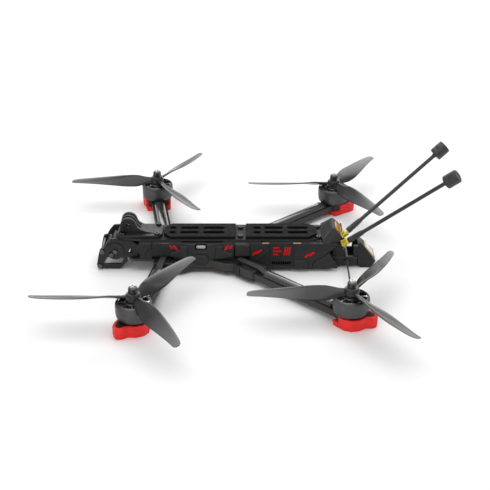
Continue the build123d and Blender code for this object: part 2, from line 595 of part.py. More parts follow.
# ---- nose: two side plates, cross rods and the tilting flight camera ----
pivot_x, pivot_z = CAMERA_PIVOT
PLATE_INNER = 15.2
PLATE_OUTER = 17.6
BOSS_FACE = 18.6                # the round boss stands proud of the plate
BOSS_RADIUS = 8.9
NOSE_OUTLINE = [
    (127.5, 31.5), (133.4, 31.0), (138.4, 25.0), (140.6, 20.4), (144.2, 19.6), (145.4, 16.4),
    (148.4, 2.6), (147.8, -0.6), (145.8, -2.0), (125.2, -2.0), (121.2, 1.9), (117.3, 6.0),
    (117.3, 11.0), (106.5, 11.0), (106.5, 24.5), (112.0, 27.9), (119.0, 27.9), (124.0, 29.5),
]
LOW_WINDOW = [(137.2, 10.6), (121.4, 10.0), (120.9, 9.0), (123.8, 3.4), (141.4, 3.4)]
WEB_WINDOW = [(116.6, 15.6), (111.6, 15.6), (113.4, 20.4)]
ROD_SPOTS = [(142.4, 17.0, 1.6), (145.2, 1.0, 2.0)]
GUIDE_RADIUS = 5.2              # the second camera screw runs in a curved slot
GUIDE_ANGLE = -45.0
TILT = 20.0                     # camera tilts this far each way from its set angle
CAMERA_SET_ANGLE = 25.0

guide_slot = SlotArc(
    CenterArc((0, 0), GUIDE_RADIUS, GUIDE_ANGLE - TILT - 3, 2 * TILT + 6), 2.3)
plate = side_prism(NOSE_OUTLINE, PLATE_INNER, PLATE_OUTER)
plate -= side_prism(LOW_WINDOW, 10, 20) + side_prism(WEB_WINDOW, 10, 20)
plate += rod_along_y(pivot_x, pivot_z, BOSS_RADIUS, PLATE_INNER, BOSS_FACE)
plate -= rod_along_y(pivot_x, pivot_z, 1.5 + RUNNING_GAP, 10, 20)
plate -= Pos(pivot_x, 20, pivot_z) * extrude(Plane.XZ * guide_slot, 10)
for rod_x, rod_z, rod_radius in ROD_SPOTS:
    plate -= rod_along_y(rod_x, rod_z, 1.4, 10, 20)
for side, shape in zip(("left", "right"), both_sides(plate)):
    save(f"nose_plate_{side}", shape)

rods = []
for rod_x, rod_z, rod_radius in ROD_SPOTS:
    rod = rod_along_y(rod_x, rod_z, rod_radius, -PLATE_INNER, PLATE_INNER)
    rod += rod_along_y(rod_x, rod_z, 1.4, -PLATE_OUTER, PLATE_OUTER)
    for low, high in ((PLATE_OUTER, PLATE_OUTER + 1.6), (-PLATE_OUTER - 1.6, -PLATE_OUTER)):
        rod += rod_along_y(rod_x, rod_z, 2.5, low, high)
    rods.append(rod)
save("nose_cross_rods", *rods)


def on_camera(shape):
    """Place a shape drawn about the pivot with the lens along +X."""
    return Pos(pivot_x, 0, pivot_z) * Rot(0, -CAMERA_SET_ANGLE, 0) * shape


CAMERA_HALF = 9.5
LENS_RADIUS = 6.2
case = block((-8.0, 6.5), (-CAMERA_HALF, CAMERA_HALF), (-CAMERA_HALF, CAMERA_HALF))
case = chamfer(case.edges().filter_by(Axis.X), 1.4)
for low, high in ((CAMERA_HALF - 1, 15.0), (-15.0, 1 - CAMERA_HALF)):
    case += rod_along_y(0, 0, 7.2, low, high)
case -= Pos(4.0, 0, 0) * Rot(0, 90, 0) * Cylinder(LENS_RADIUS - 1, 8)
barrel = Pos(8.3, 0, 0) * Rot(0, 90, 0) * Cylinder(LENS_RADIUS, 3.6)
barrel += Pos(4.0, 0, 0) * Rot(0, 90, 0) * Cylinder(LENS_RADIUS - 1, 6)
barrel -= Pos(9.6, 0, 0) * Rot(0, 90, 0) * Cylinder(LENS_RADIUS - 1.2, 2.0)
glass = Pos(9.2, 0, 0) * Rot(0, 90, 0) * Cylinder(LENS_RADIUS - 1.2, 1.2)
glass = fillet(glass.edges().group_by(Axis.X)[-1], 0.9)
pivot_screws = []
guide = math.radians(GUIDE_ANGLE)
for low, high, head_low, head_high in (
    (12.0, BOSS_FACE + 0.2, BOSS_FACE + 0.1, BOSS_FACE + 1.7),
    (-BOSS_FACE - 0.2, -12.0, -BOSS_FACE - 1.7, -BOSS_FACE - 0.1),
):
    for spot_x, spot_z, radius in (
        (pivot_x, pivot_z, 1.5),
        (pivot_x + GUIDE_RADIUS * math.cos(guide), pivot_z + GUIDE_RADIUS * math.sin(guide), 1.0),
    ):
        pivot_screw = rod_along_y(spot_x, spot_z, radius, low, high)
        pivot_screw += rod_along_y(spot_x, spot_z, 2.3, head_low, head_high)
        pivot_screws.append(pivot_screw)
housing = on_camera(case)
for pivot_screw in pivot_screws:
    housing -= pivot_screw
save("camera_housing", housing)
save("camera_lens", on_camera(barrel), on_camera(glass))
save("camera_pivot_screws", *pivot_screws)

# ---- electronics between the plates ----
ESC_BOARD = (14.0, 15.6)        # speed controller, low in the stack
FLIGHT_BOARD = (22.1, 23.7)     # flight controller, level with the port
STACK_SPOTS = [(x, y) for x in (27.0, 57.5) for y in (15.25, -15.25)]

speed_controller = block((16.0, 66.0), (-19.5, 19.5), ESC_BOARD)
for chip_x in range(22, 64, 7):
    for low, high in ((4.0, 12.5), (-12.5, -4.0)):
        speed_controller += block((chip_x, chip_x + 5.0), (low, high), (15.6, 17.4))
flight_controller = block((23.5, 61.0), (-18.5, 18.5), FLIGHT_BOARD)
flight_controller += block((36.8, 48.6), (18.0, 21.3), FLIGHT_BOARD)
flight_controller += block((38.0, 47.0), (-4.5, 4.5), (23.7, 24.9))
for x, y in STACK_SPOTS:
    posts.append(disc(x, y, 2.4, MID_TOP, ESC_BOARD[0]))
    posts.append(disc(x, y, 2.4, ESC_BOARD[1], FLIGHT_BOARD[0]))
save("speed_controller", speed_controller)
save("flight_controller", flight_controller)
save("posts", *posts)

transmitter = block((-64.0, -30.0), (-15.0, 15.0), (MID_TOP, 19.0))
for fin_number in range(7):
    fin_x = -62.5 + 5.0 * fin_number
    transmitter += block((fin_x, fin_x + 1.6), (-15.0, 15.0), (19.0, 22.5))
save("video_transmitter", transmitter)
capacitor = Pos(-15.0, 0, 17.2) * Rot(0, 90, 0) * Cylinder(6.2, 24.0)
save("power_capacitor", capacitor)

# ---- tail: battery connector, antenna connectors, bracket and antennas ----
HOLDER_PROFILE = [
    (-78.2, 27.0), (-78.2, 30.6), (-88.4, 40.3), (-90.2, 40.3), (-97.2, 31.0), (-97.2, 27.2),
    (-91.0, 21.2), (-84.0, 21.2),
]
CAP_PROFILE = [
    (-78.2, DECK_BOTTOM), (-78.2, 30.6), (-88.4, 40.3), (-90.2, 40.3), (-97.2, 31.0),
    (-94.6, DECK_BOTTOM),
]
HOLDER_HALF = 12.0
FACE_TILT = 36.2                # the connector face looks up and back by this much
connector_plane = Plane(
    origin=(-93.9, 0, 35.5), x_dir=(0, 1, 0),
    z_dir=(-math.cos(math.radians(FACE_TILT)), 0, math.sin(math.radians(FACE_TILT))))
holder = side_prism(HOLDER_PROFILE, -HOLDER_HALF, HOLDER_HALF)
cap = side_prism(CAP_PROFILE, -22.6, 22.6)
cap &= prism(mirrored_outline([(-78.2, 22.6), (-85.5, 22.6), (-97.2, 12.4)]), 20, 50)
lean = [(22.6, DECK_BOTTOM), (12.4, 40.3), (-12.4, 40.3), (-22.6, DECK_BOTTOM)]
cap &= Pos(-100, 0, 0) * extrude(Plane.YZ * make_face(Polyline(*lean, close=True)), 30)
holder += cap
holder -= extrude(connector_plane * SlotOverall(18.6, 8.6), 5, both=True)
SLOPE_ANGLE = 43.6              # the holder's front slope, grooved from top to bottom
GROOVE_SPACING = 3.6
for groove_number in range(-3, 4):
    groove = Pos(-83.3, GROOVE_SPACING * groove_number, 35.45) * Rot(0, SLOPE_ANGLE, 0)
    holder -= groove * Box(10.4, 1.4, 1.6)
save("connector_holder", holder)

plug = extrude(connector_plane * SlotOverall(18.6, 8.6), -5)
plug += extrude(connector_plane * SlotOverall(18.6, 8.6), 1.6)
plug -= extrude((connector_plane * Pos(0, 0, 1.6)) * SlotOverall(16.6, 6.8), -5.2)
for pin_y in (-4.9, 4.9):
    plug += extrude((connector_plane * Pos(pin_y, 0, -4.0)) * Circle(1.4), 5.0)
save("battery_connector", plug)

REAR_BRACKET_HALF = 13.5
BRACKET_PROFILE = [
    (-89.2, -0.8), (-114.8, -0.8), (-114.8, 8.8), (-89.2, 8.8)]
GUSSET_PROFILE = [
    (-89.2, 8.0), (-102.6, 8.0), (-102.6, 10.2), (-96.3, 22.6), (-93.6, 21.4), (-89.2, 18.0)]
bracket = raised(BRACKET_PROFILE, 0, REAR_BRACKET_HALF, 1.0)
bracket += other_side(bracket)
bracket += side_prism(GUSSET_PROFILE, -12.2, 12.2)
bracket -= side_prism(
    [(-91.5, 1.4), (-101.0, 1.4), (-101.0, 9.0), (-96.5, 18.5), (-91.5, 15.5)], -10.0, 10.0)
bracket -= block((-112.6, -104.8), (-10.0, 10.0), (1.4, 12.0))
for knuckle in both_sides(block((-114.8, -110.2), (7.0, 11.4), (8.0, 19.5))):
    bracket += knuckle
for boss in both_sides(rod_along_y(-112.5, 16.6, 2.6, 11.4, 12.6)):
    bracket += boss

ANTENNA_START = (-105.2, 10.6, 26.2)
ANTENNA_WAY = Vector(-92.6, 27.0, 77.3).normalized()
CONNECTOR_RADIUS = 3.2


def on_antenna(distance):
    """A plane across the left antenna this far along it from its lower end."""
    return Plane(origin=Vector(*ANTENNA_START) + ANTENNA_WAY * distance, z_dir=ANTENNA_WAY)


def antenna_cylinder(radius, low, high):
    return extrude(on_antenna(low) * Circle(radius), high - low)


connector = antenna_cylinder(CONNECTOR_RADIUS, -7.4, -0.4)
connector += extrude(on_antenna(-8.4) * RegularPolygon(4.2, 6), 1.6)
for seat in both_sides(antenna_cylinder(5.0, -8.4, 20)):
    bracket -= seat
for neck in both_sides(antenna_cylinder(3.6, -11.0, -8.4)):
    bracket += neck
save("antenna_connectors", *both_sides(connector))

TAPER_LENGTH = 18.0
STEM_RADIUS = 2.0
HEAD_LOW = 116.8
HEAD_HIGH = 130.6
HEAD_RADIUS = 6.8
antenna = antenna_cylinder(3.1, 0, 5.0)
antenna += loft([on_antenna(5.0) * Circle(2.8), on_antenna(TAPER_LENGTH) * Circle(STEM_RADIUS + 0.3)])
antenna += antenna_cylinder(STEM_RADIUS, 4.0, HEAD_LOW + 1)
head = antenna_cylinder(HEAD_RADIUS, HEAD_LOW, HEAD_HIGH)
antenna += fillet(head.edges().filter_by(GeomType.CIRCLE), 1.0)
for side, shape in zip(("left", "right"), both_sides(antenna)):
    save(f"antenna_{side}", shape)

WHIP_X = -103.4
WHIP_Z = 4.6
WHIP_TIP = 75.0
whip = rod_along_y(WHIP_X, WHIP_Z, 0.9, 14.0, WHIP_TIP)
whip += rod_along_y(WHIP_X, WHIP_Z, 2.3, REAR_BRACKET_HALF, 17.0)
save("receiver_antennas", *both_sides(whip))

GPS_HALF = 13.5
GPS_SLOPE_FOOT = (-132.4, 4.2)
GPS_SLOPE_TOP = (-120.6, 18.6)
GPS_PROFILE = [
    (-114.9, 0.2), (-117.2, -2.9), (-128.2, -2.9), GPS_SLOPE_FOOT, GPS_SLOPE_TOP,
    (-117.6, 21.4), (-114.9, 20.4),
]
GPS_FRONT_VIEW = [(GPS_HALF, -3.0), (GPS_HALF, 5.0), (6.4, 21.6), (-6.4, 21.6),
                  (-GPS_HALF, 5.0), (-GPS_HALF, -3.0)]
gps_tilt = math.atan2(
    GPS_SLOPE_TOP[0] - GPS_SLOPE_FOOT[0], GPS_SLOPE_TOP[1] - GPS_SLOPE_FOOT[1])
gps_centre = (
    (GPS_SLOPE_FOOT[0] + GPS_SLOPE_TOP[0]) / 2, 0, (GPS_SLOPE_FOOT[1] + GPS_SLOPE_TOP[1]) / 2)
gps_plane = Plane(
    origin=gps_centre, x_dir=(0, 1, 0),
    z_dir=(-math.cos(gps_tilt), 0, math.sin(gps_tilt)))
gps_seat = extrude(gps_plane * Rectangle(15.4, 14.4), -3.4)
gps_holder = side_prism(GPS_PROFILE, -GPS_HALF, GPS_HALF)
gps_holder &= Pos(-140, 0, 0) * extrude(
    Plane.YZ * make_face(Polyline(*GPS_FRONT_VIEW, close=True)), 30)
gps_holder -= gps_seat
gps_module = extrude((gps_plane * Pos(0, 0, -3.4)) * Rectangle(15.0, 14.0), 4.2)
gps_module = chamfer(gps_module.edges().filter_by(GeomType.LINE).group_by(SortBy.LENGTH)[0], 0.8)
save("rear_bracket", bracket)
save("gps_holder", gps_holder)
save("gps_module", gps_module)
save("screws", *screws, *motor_screws)
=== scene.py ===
# FPV racing drone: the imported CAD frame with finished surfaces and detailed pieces.
# Lengths are in metres; sizes written in millimetres are multiplied by MM.
import json
import math

import bmesh
import bpy
from mathutils import Matrix, Vector


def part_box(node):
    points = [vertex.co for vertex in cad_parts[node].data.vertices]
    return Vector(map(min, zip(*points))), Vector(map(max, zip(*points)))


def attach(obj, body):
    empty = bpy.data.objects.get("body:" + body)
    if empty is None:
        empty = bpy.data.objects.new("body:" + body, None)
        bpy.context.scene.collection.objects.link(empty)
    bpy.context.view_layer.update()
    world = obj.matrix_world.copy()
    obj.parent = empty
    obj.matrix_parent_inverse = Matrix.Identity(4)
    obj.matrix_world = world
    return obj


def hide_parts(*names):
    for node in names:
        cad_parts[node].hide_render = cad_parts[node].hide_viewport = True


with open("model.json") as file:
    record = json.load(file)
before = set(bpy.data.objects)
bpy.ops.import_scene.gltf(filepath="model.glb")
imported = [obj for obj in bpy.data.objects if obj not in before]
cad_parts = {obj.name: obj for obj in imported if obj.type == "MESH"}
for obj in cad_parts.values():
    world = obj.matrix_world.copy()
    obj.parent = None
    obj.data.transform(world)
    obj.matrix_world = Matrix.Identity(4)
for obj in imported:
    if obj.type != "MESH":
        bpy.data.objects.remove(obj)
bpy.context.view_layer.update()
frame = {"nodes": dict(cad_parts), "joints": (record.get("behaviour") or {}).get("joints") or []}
NODES = frame["nodes"]
MM = 0.001

# ---- camera and places shared by several pieces ----
IMAGE_WIDTH = 490
FOCAL_PIXELS = 1099.4           # focal length in pixels of a picture that wide
CAMERA_PLACE = Vector((-0.01066, 1.00341, 0.50689))
CAMERA_TARGET = Vector((-0.00082, 0.0, 0.01571))
CAMERA_ROLL = -0.0044

camera_data = bpy.data.cameras.new("camera")
camera_data.sensor_width = 36.0
camera_data.lens = FOCAL_PIXELS * camera_data.sensor_width / IMAGE_WIDTH
camera_data.clip_start = 0.05
camera = bpy.data.objects.new("camera", camera_data)
bpy.context.scene.collection.objects.link(camera)
aim = (CAMERA_TARGET - CAMERA_PLACE).to_track_quat("-Z", "Y").to_matrix().to_4x4()
camera.matrix_world = (
    Matrix.Translation(CAMERA_PLACE) @ aim @ Matrix.Rotation(CAMERA_ROLL, 4, "Z"))
bpy.context.scene.camera = camera

CORNERS = {}
for joint in frame["joints"]:
    if joint["name"].endswith("_motor"):
        corner_name = joint["name"].removesuffix("_motor")
        CORNERS[corner_name] = Vector(joint["pos_m"])
ARM_ANGLES = {"front": 81.0, "rear": 135.4}     # degrees from the nose, outward
FLOOR_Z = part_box("feet")[0][2]


# ---- node-tree helpers ----
class Tree:
    """A material with short calls for the nodes used here."""

    def __init__(self, name):
        self.material = bpy.data.materials.new(name)
        self.material.use_nodes = True
        self.tree = self.material.node_tree
        self.shader = self.tree.nodes["Principled BSDF"]

    def node(self, kind, **settings):
        made = self.tree.nodes.new(kind)
        for key, value in settings.items():
            setattr(made, key, value)
        return made

    def link(self, source, target):
        if isinstance(source, (int, float)):
            target.default_value = source
        else:
            self.tree.links.new(source, target)

    def math(self, operation, a, b=0.0):
        made = self.node("ShaderNodeMath", operation=operation)
        self.link(a, made.inputs[0])
        self.link(b, made.inputs[1])
        return made.outputs[0]

    def position(self):
        return self.node("ShaderNodeTexCoord").outputs["Object"]

    def uv(self):
        return self.node("ShaderNodeTexCoord").outputs["UV"]

    def split(self, vector):
        made = self.node("ShaderNodeSeparateXYZ")
        self.link(vector, made.inputs[0])
        return made.outputs

    def noise(self, vector, scale, detail=3.0):
        made = self.node("ShaderNodeTexNoise")
        made.inputs["Scale"].default_value = scale
        made.inputs["Detail"].default_value = detail
        self.link(vector, made.inputs["Vector"])
        return made.outputs["Fac"]

    def blend(self, factor, colour_a, colour_b):
        made = self.node("ShaderNodeMix", data_type="RGBA")
        self.link(factor, made.inputs["Factor"])
        for colour, socket in ((colour_a, made.inputs["A"]), (colour_b, made.inputs["B"])):
            if isinstance(colour, tuple):
                socket.default_value = (*colour, 1.0)
            else:
                self.link(colour, socket)
        return made.outputs["Result"]

    def spread(self, factor, low, high):
        """Stretch the middle of a 0 to 1 value, where noise mostly lies, over a new range."""
        made = self.node("ShaderNodeMapRange")
        self.link(factor, made.inputs["Value"])
        made.inputs["From Min"].default_value = 0.3
        made.inputs["From Max"].default_value = 0.7
        made.inputs["To Min"].default_value = low
        made.inputs["To Max"].default_value = high
        return made.outputs["Result"]

    def colour(self, source):
        self.link(source, self.shader.inputs["Base Color"])

    def roughness(self, source):
        self.link(source, self.shader.inputs["Roughness"])

    def bump(self, height, strength, depth_mm):
        made = self.node("ShaderNodeBump")
        made.inputs["Strength"].default_value = strength
        made.inputs["Distance"].default_value = depth_mm * MM
        self.link(height, made.inputs["Height"])
        self.link(made.outputs["Normal"], self.shader.inputs["Normal"])

    def fixed(self, **values):
        """Numbers that are the same all over, straight on the shader."""
        names = {
            "metallic": "Metallic", "coat": "Coat Weight", "coat_roughness": "Coat Roughness",
            "sheen": "Sheen Weight", "specular": "Specular IOR Level",
        }
        for key, value in values.items():
            self.shader.inputs[names[key]].default_value = value


def shade(colour, factor):
    return tuple(min(1.0, channel * factor) for channel in colour)


def moulded(name, colour, roughness, grain_mm=0.35, grain=0.25, variation=0.25, **fixed):
    """Plastic, rubber or metal: cloudy colour, uneven gloss and a fine surface grain."""
    t = Tree(name)
    place = t.position()
    cloud = t.noise(place, 60.0, 4.0)
    t.colour(t.blend(t.spread(cloud, 0.0, 1.0), shade(colour, 1 - variation),
                     shade(colour, 1 + variation)))
    smear = t.noise(place, 180.0, 5.0)
    t.roughness(t.spread(smear, roughness * 0.85, roughness * 1.15))
    t.bump(t.noise(place, 1 / (grain_mm * MM), 2.0), grain, 0.03)
    t.fixed(**fixed)
    return t.material


def twill(t, vector, thread_mm):
    """1 where warp threads of a 2 by 2 twill are on top, 0 where weft threads are."""
    x, y, _ = t.split(vector)
    column = t.math("FLOOR", t.math("DIVIDE", x, thread_mm * MM))
    row = t.math("FLOOR", t.math("DIVIDE", y, thread_mm * MM))
    step = t.math("FLOORED_MODULO", t.math("ADD", column, row), 4.0)
    return t.math("LESS_THAN", step, 1.5)


def waves(t, value, spacing_mm):
    """A sine wave along a length that repeats every few millimetres."""
    return t.math("SINE", t.math("MULTIPLY", value, 2 * math.pi / (spacing_mm * MM)))


# ---- materials ----
BRAID_SPACING = 1.1


def carbon_plate():
    """Satin woven faces, and cut edges where the plies show as brown-grey lines."""
    t = Tree("carbon_plate")
    place = t.position()
    weave = twill(t, place, 1.1)
    face = t.blend(weave, (0.008, 0.008, 0.009), (0.014, 0.014, 0.014))
    height = t.split(place)[2]
    ply = waves(t, height, 0.42)
    line = t.math("MULTIPLY_ADD", ply, 0.5)
    line.node.inputs[2].default_value = 0.5
    fibre = t.noise(place, 900.0, 2.0)
    edge = t.blend(t.spread(fibre, 0.0, 1.0), (0.048, 0.044, 0.040), (0.078, 0.071, 0.064))
    edge = t.blend(t.math("MULTIPLY", line, 0.55), edge, (0.026, 0.024, 0.022))
    normal_z = t.split(t.node("ShaderNodeNewGeometry").outputs["Normal"])[2]
    flat = t.math("GREATER_THAN", t.math("ABSOLUTE", normal_z), 0.8)
    t.colour(t.blend(flat, edge, face))
    t.roughness(t.spread(t.noise(place, 300.0), 0.48, 0.62))
    t.bump(t.math("ADD", t.math("MULTIPLY", weave, flat), fibre), 0.25, 0.03)
    t.fixed(specular=0.22)
    return t.material


def carbon_twill():
    """Glossy woven shell; UVs run along and across the arm in metres."""
    t = Tree("carbon_twill")
    weave = twill(t, t.uv(), 0.55)
    sheen = t.noise(t.position(), 250.0)
    dark = t.blend(sheen, (0.018, 0.018, 0.019), (0.028, 0.028, 0.029))
    t.colour(t.blend(weave, dark, (0.036, 0.036, 0.037)))
    t.roughness(t.spread(weave, 0.20, 0.28))
    t.bump(weave, 0.25, 0.03)
    t.fixed(coat=0.8, coat_roughness=0.08)
    return t.material


def braid():
    """Woven polyester sleeve: fine crossing strands."""
    t = Tree("braid")
    along, across, _ = t.split(t.uv())
    first = waves(t, t.math("ADD", along, across), BRAID_SPACING)
    second = waves(t, t.math("SUBTRACT", along, across), BRAID_SPACING)
    strands = t.math("MAXIMUM", first, second)
    t.colour(t.blend(t.spread(strands, 0.0, 1.0), (0.008, 0.008, 0.009), (0.045, 0.045, 0.047)))
    t.roughness(t.spread(strands, 0.75, 0.55))
    t.bump(strands, 0.6, 0.12)
    return t.material


def bell_metal():
    """Satin anodised metal with fine turning rings."""
    t = Tree("bell_metal")
    place = t.position()
    height = t.split(place)[2]
    rings = waves(t, height, 0.22)
    cloud = t.noise(place, 90.0, 4.0)
    t.colour(t.blend(t.spread(cloud, 0.0, 1.0), (0.075, 0.076, 0.078), (0.110, 0.111, 0.113)))
    t.roughness(t.spread(t.noise(place, 500.0), 0.40, 0.52))
    t.bump(rings, 0.10, 0.01)
    t.fixed(metallic=0.75)
    return t.material


def propeller_plastic():
    """Tinted glossy plastic with a painted highlight that grows paler towards the tips; UV x is the
    radius in metres.
    """
    t = Tree("propeller_plastic")
    place = t.position()
    radius = t.split(t.uv())[0]
    # Painted highlight: the colour grows paler along the radius in place of the sheen on the
    # flatter outer blade; random mottling is added next.
    painted_tip_sheen = t.spread(t.math("MULTIPLY", radius, 7.4), 0.0, 0.9)
    mottle_and_tip_sheen = t.math("ADD", t.math("MULTIPLY", t.noise(place, 35.0, 5.0), 0.2), painted_tip_sheen)
    t.colour(t.blend(t.math("MINIMUM", mottle_and_tip_sheen, 1.0), (0.003, 0.003, 0.003), (0.150, 0.150, 0.151)))
    t.roughness(t.spread(t.noise(place, 60.0), 0.20, 0.26))
    t.bump(t.noise(place, 300.0), 0.04, 0.01)
    t.fixed(coat=0.1, coat_roughness=0.2, specular=0.32)
    return t.material


def foot_rubber():
    """Red printed rubber: fine layer lines and slight mottling."""
    t = Tree("foot_rubber")
    place = t.position()
    height = t.split(place)[2]
    layers = waves(t, height, 0.4)
    cloud = t.noise(place, 120.0, 4.0)
    t.colour(t.blend(t.spread(cloud, 0.0, 1.0), (0.74, 0.018, 0.018), (0.88, 0.030, 0.028)))
    t.roughness(t.spread(t.noise(place, 400.0), 0.45, 0.6))
    t.bump(layers, 0.12, 0.02)
    t.fixed(specular=0.3)
    return t.material


def copper_wire():
    t = Tree("copper_wire")
    place = t.position()
    lacquer = t.noise(place, 500.0, 3.0)
    t.colour(t.blend(t.spread(lacquer, 0.0, 1.0), (0.20, 0.085, 0.030), (0.42, 0.20, 0.08)))
    t.roughness(t.spread(t.noise(place, 900.0), 0.25, 0.4))
    t.bump(t.noise(place, 2500.0), 0.15, 0.03)
    t.fixed(metallic=0.85)
    return t.material


def circuit_board():
    t = Tree("circuit_board")
    place = t.position()
    tracks = t.math("GREATER_THAN", t.noise(place, 450.0, 1.0), 0.56)
    t.colour(t.blend(tracks, (0.010, 0.030, 0.075), (0.020, 0.070, 0.160)))
    t.roughness(t.spread(t.noise(place, 300.0), 0.3, 0.45))
    t.bump(tracks, 0.2, 0.03)
    return t.material


def ceramic():
    t = Tree("ceramic")
    place = t.position()
    speckle = t.noise(place, 800.0, 4.0)
    t.colour(t.blend(t.spread(speckle, 0.0, 1.0), (0.58, 0.44, 0.22), (0.78, 0.64, 0.38)))
    t.roughness(t.spread(t.noise(place, 250.0), 0.35, 0.5))
    t.bump(speckle, 0.1, 0.02)
    return t.material


def screw_metal():
    """Black oxide on the deck's screws, bright steel on the motors' screws below."""
    t = Tree("screw_metal")
    place = t.position()
    high = t.math("GREATER_THAN", t.split(place)[2], 20 * MM)
    cloud = t.noise(place, 900.0, 3.0)
    bright = t.blend(cloud, (0.50, 0.50, 0.51), (0.66, 0.66, 0.67))
    dark = t.blend(cloud, (0.035, 0.035, 0.037), (0.06, 0.06, 0.062))
    t.colour(t.blend(high, bright, dark))
    t.roughness(t.spread(t.noise(place, 1500.0), 0.2, 0.3))
    t.bump(t.noise(place, 4000.0), 0.05, 0.01)
    t.fixed(metallic=1.0)
    return t.material


SCREW = screw_metal()
CARBON = carbon_plate()
TWILL = carbon_twill()
BRAID = braid()
BELL = bell_metal()
PROPELLER = propeller_plastic()
FOOT = foot_rubber()
COPPER = copper_wire()
BOARD = circuit_board()
CERAMIC = ceramic()
COVER = moulded("cover_plastic", (0.021, 0.021, 0.022), 0.50, 0.30, 0.25, 0.12, specular=0.3)
BLACK = moulded("black_plastic", (0.012, 0.012, 0.013), 0.42, 0.30, 0.2, 0.15, specular=0.35)
PAD = moulded("pad_rubber", (0.007, 0.007, 0.008), 0.65, 0.22, 0.3, 0.15, specular=0.08)
# Painted shade: near-black material for a ring that stands in for the shadow round the set-up port.
PORT_SHADE = moulded("port_painted_shade", (0.002, 0.002, 0.002), 0.7, 0.2, 0.2, 0.2, specular=0.1)
STEEL = moulded("screw_steel", (0.62, 0.62, 0.63), 0.26, 0.12, 0.06, 0.12, metallic=1.0)
DARK_STEEL = moulded("dark_steel", (0.10, 0.10, 0.105), 0.32, 0.12, 0.06, 0.15, metallic=1.0)
NUT_STEEL = moulded("nut_steel", (0.10, 0.10, 0.105), 0.34, 0.12, 0.06, 0.15, metallic=1.0)
ROD_METAL = moulded("rod_aluminium", (0.55, 0.55, 0.56), 0.24, 0.15, 0.05, 0.1, metallic=1.0)
LAMINATION = moulded("stator_steel", (0.20, 0.19, 0.18), 0.42, 0.2, 0.2, 0.2, metallic=0.9)
MAGNET = moulded("magnet_nickel", (0.32, 0.31, 0.30), 0.28, 0.2, 0.06, 0.12, metallic=1.0)
ANODISED = moulded("heat_sink", (0.09, 0.09, 0.095), 0.4, 0.2, 0.15, 0.15, metallic=0.8)
SLEEVE = moulded("capacitor_sleeve", (0.02, 0.02, 0.03), 0.35, 0.3, 0.1, 0.2)
AMBER = moulded("connector_amber", (0.58, 0.26, 0.006), 0.36, 0.3, 0.15, 0.12)
RIM = moulded("connector_rim", (0.13, 0.15, 0.17), 0.35, 0.3, 0.1, 0.12, metallic=0.6)
GOLD = moulded("connector_gold", (0.80, 0.66, 0.08), 0.30, 0.15, 0.05, 0.08, metallic=0.7)
ANTENNA = moulded("antenna_black", (0.026, 0.026, 0.027), 0.42, 0.3, 0.25, 0.12)
LENS_RING = moulded("lens_ring", (0.014, 0.014, 0.015), 0.3, 0.2, 0.12, 0.15)
GLASS = moulded("lens_glass", (0.012, 0.010, 0.030), 0.05, 2.0, 0.02, 0.3, coat=1.0)
SILVER = moulded("silver_plating", (0.72, 0.72, 0.70), 0.3, 0.2, 0.1, 0.08, metallic=1.0)
PORT = moulded("port_steel", (0.66, 0.66, 0.67), 0.3, 0.2, 0.05, 0.08, metallic=0.9)
LAMINATE = moulded("board_edge", (0.42, 0.29, 0.15), 0.5, 0.3, 0.1, 0.15)
PAINT = moulded("red_paint", (0.74, 0.002, 0.002), 0.6, 0.3, 0.05, 0.06, specular=0.15)


# ---- mesh helpers ----
PAINT_THICKNESS = 0.12


def new_object(name, builder, material, body, *replaced, sharp=35.0):
    """Turn a bmesh into a smooth-shaded piece that rides on a body."""
    mesh = bpy.data.meshes.new(name)
    bmesh.ops.remove_doubles(builder, verts=builder.verts, dist=1e-7)
    bmesh.ops.recalc_face_normals(builder, faces=builder.faces)
    builder.to_mesh(mesh)
    builder.free()
    mesh.materials.append(material)
    for polygon in mesh.polygons:
        polygon.use_smooth = True
    mesh.set_sharp_from_angle(angle=math.radians(sharp))
    piece = bpy.data.objects.new(name, mesh)
    bpy.context.scene.collection.objects.link(piece)
    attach(piece, body)
    if replaced:
        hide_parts(*replaced)
    return piece


def bevelled(piece, width_mm):
    """Round a hard-edged piece's corners with a live bevel."""
    weld = piece.modifiers.new("weld", "WELD")
    weld.merge_threshold = 0.001 * MM
    flat = piece.modifiers.new("flatten", "DECIMATE")
    flat.decimate_type = "DISSOLVE"
    flat.angle_limit = math.radians(1.0)
    bevel = piece.modifiers.new("bevel", "BEVEL")
    bevel.width = width_mm * MM
    bevel.segments = 2
    bevel.limit_method = "ANGLE"
    bevel.angle_limit = math.radians(32.0)
    bevel.harden_normals = False
    bevel.use_clamp_overlap = True


def finish_node(node, material, width_mm=0.0):
    """Give a CAD node its material and rounded edges."""
    piece = NODES[node]
    piece.data.materials.clear()
    piece.data.materials.append(material)
    if width_mm:
        bevelled(piece, width_mm)


def lathe(builder, profile, steps=64, place=None, closed=False):
    """Turn (radius, height) points in millimetres about Z."""
    place = place or Matrix.Identity(4)
    rings = []
    for radius, height in profile:
        if radius < 1e-6:
            rings.append([builder.verts.new(place @ Vector((0, 0, height * MM)))])
            continue
        ring = []
        for i in range(steps):
            turn = 2 * math.pi * i / steps
            point = Vector((radius * math.cos(turn), radius * math.sin(turn), height)) * MM
            ring.append(builder.verts.new(place @ point))
        rings.append(ring)
    pairs = list(zip(rings, rings[1:]))
    if closed:
        pairs.append((rings[-1], rings[0]))
    for first, second in pairs:
        for i in range(steps):
            j = (i + 1) % steps
            corners = [first[i % len(first)], first[j % len(first)],
                       second[j % len(second)], second[i % len(second)]]
            unique = list(dict.fromkeys(corners))
            if len(unique) > 2:
                builder.faces.new(unique)


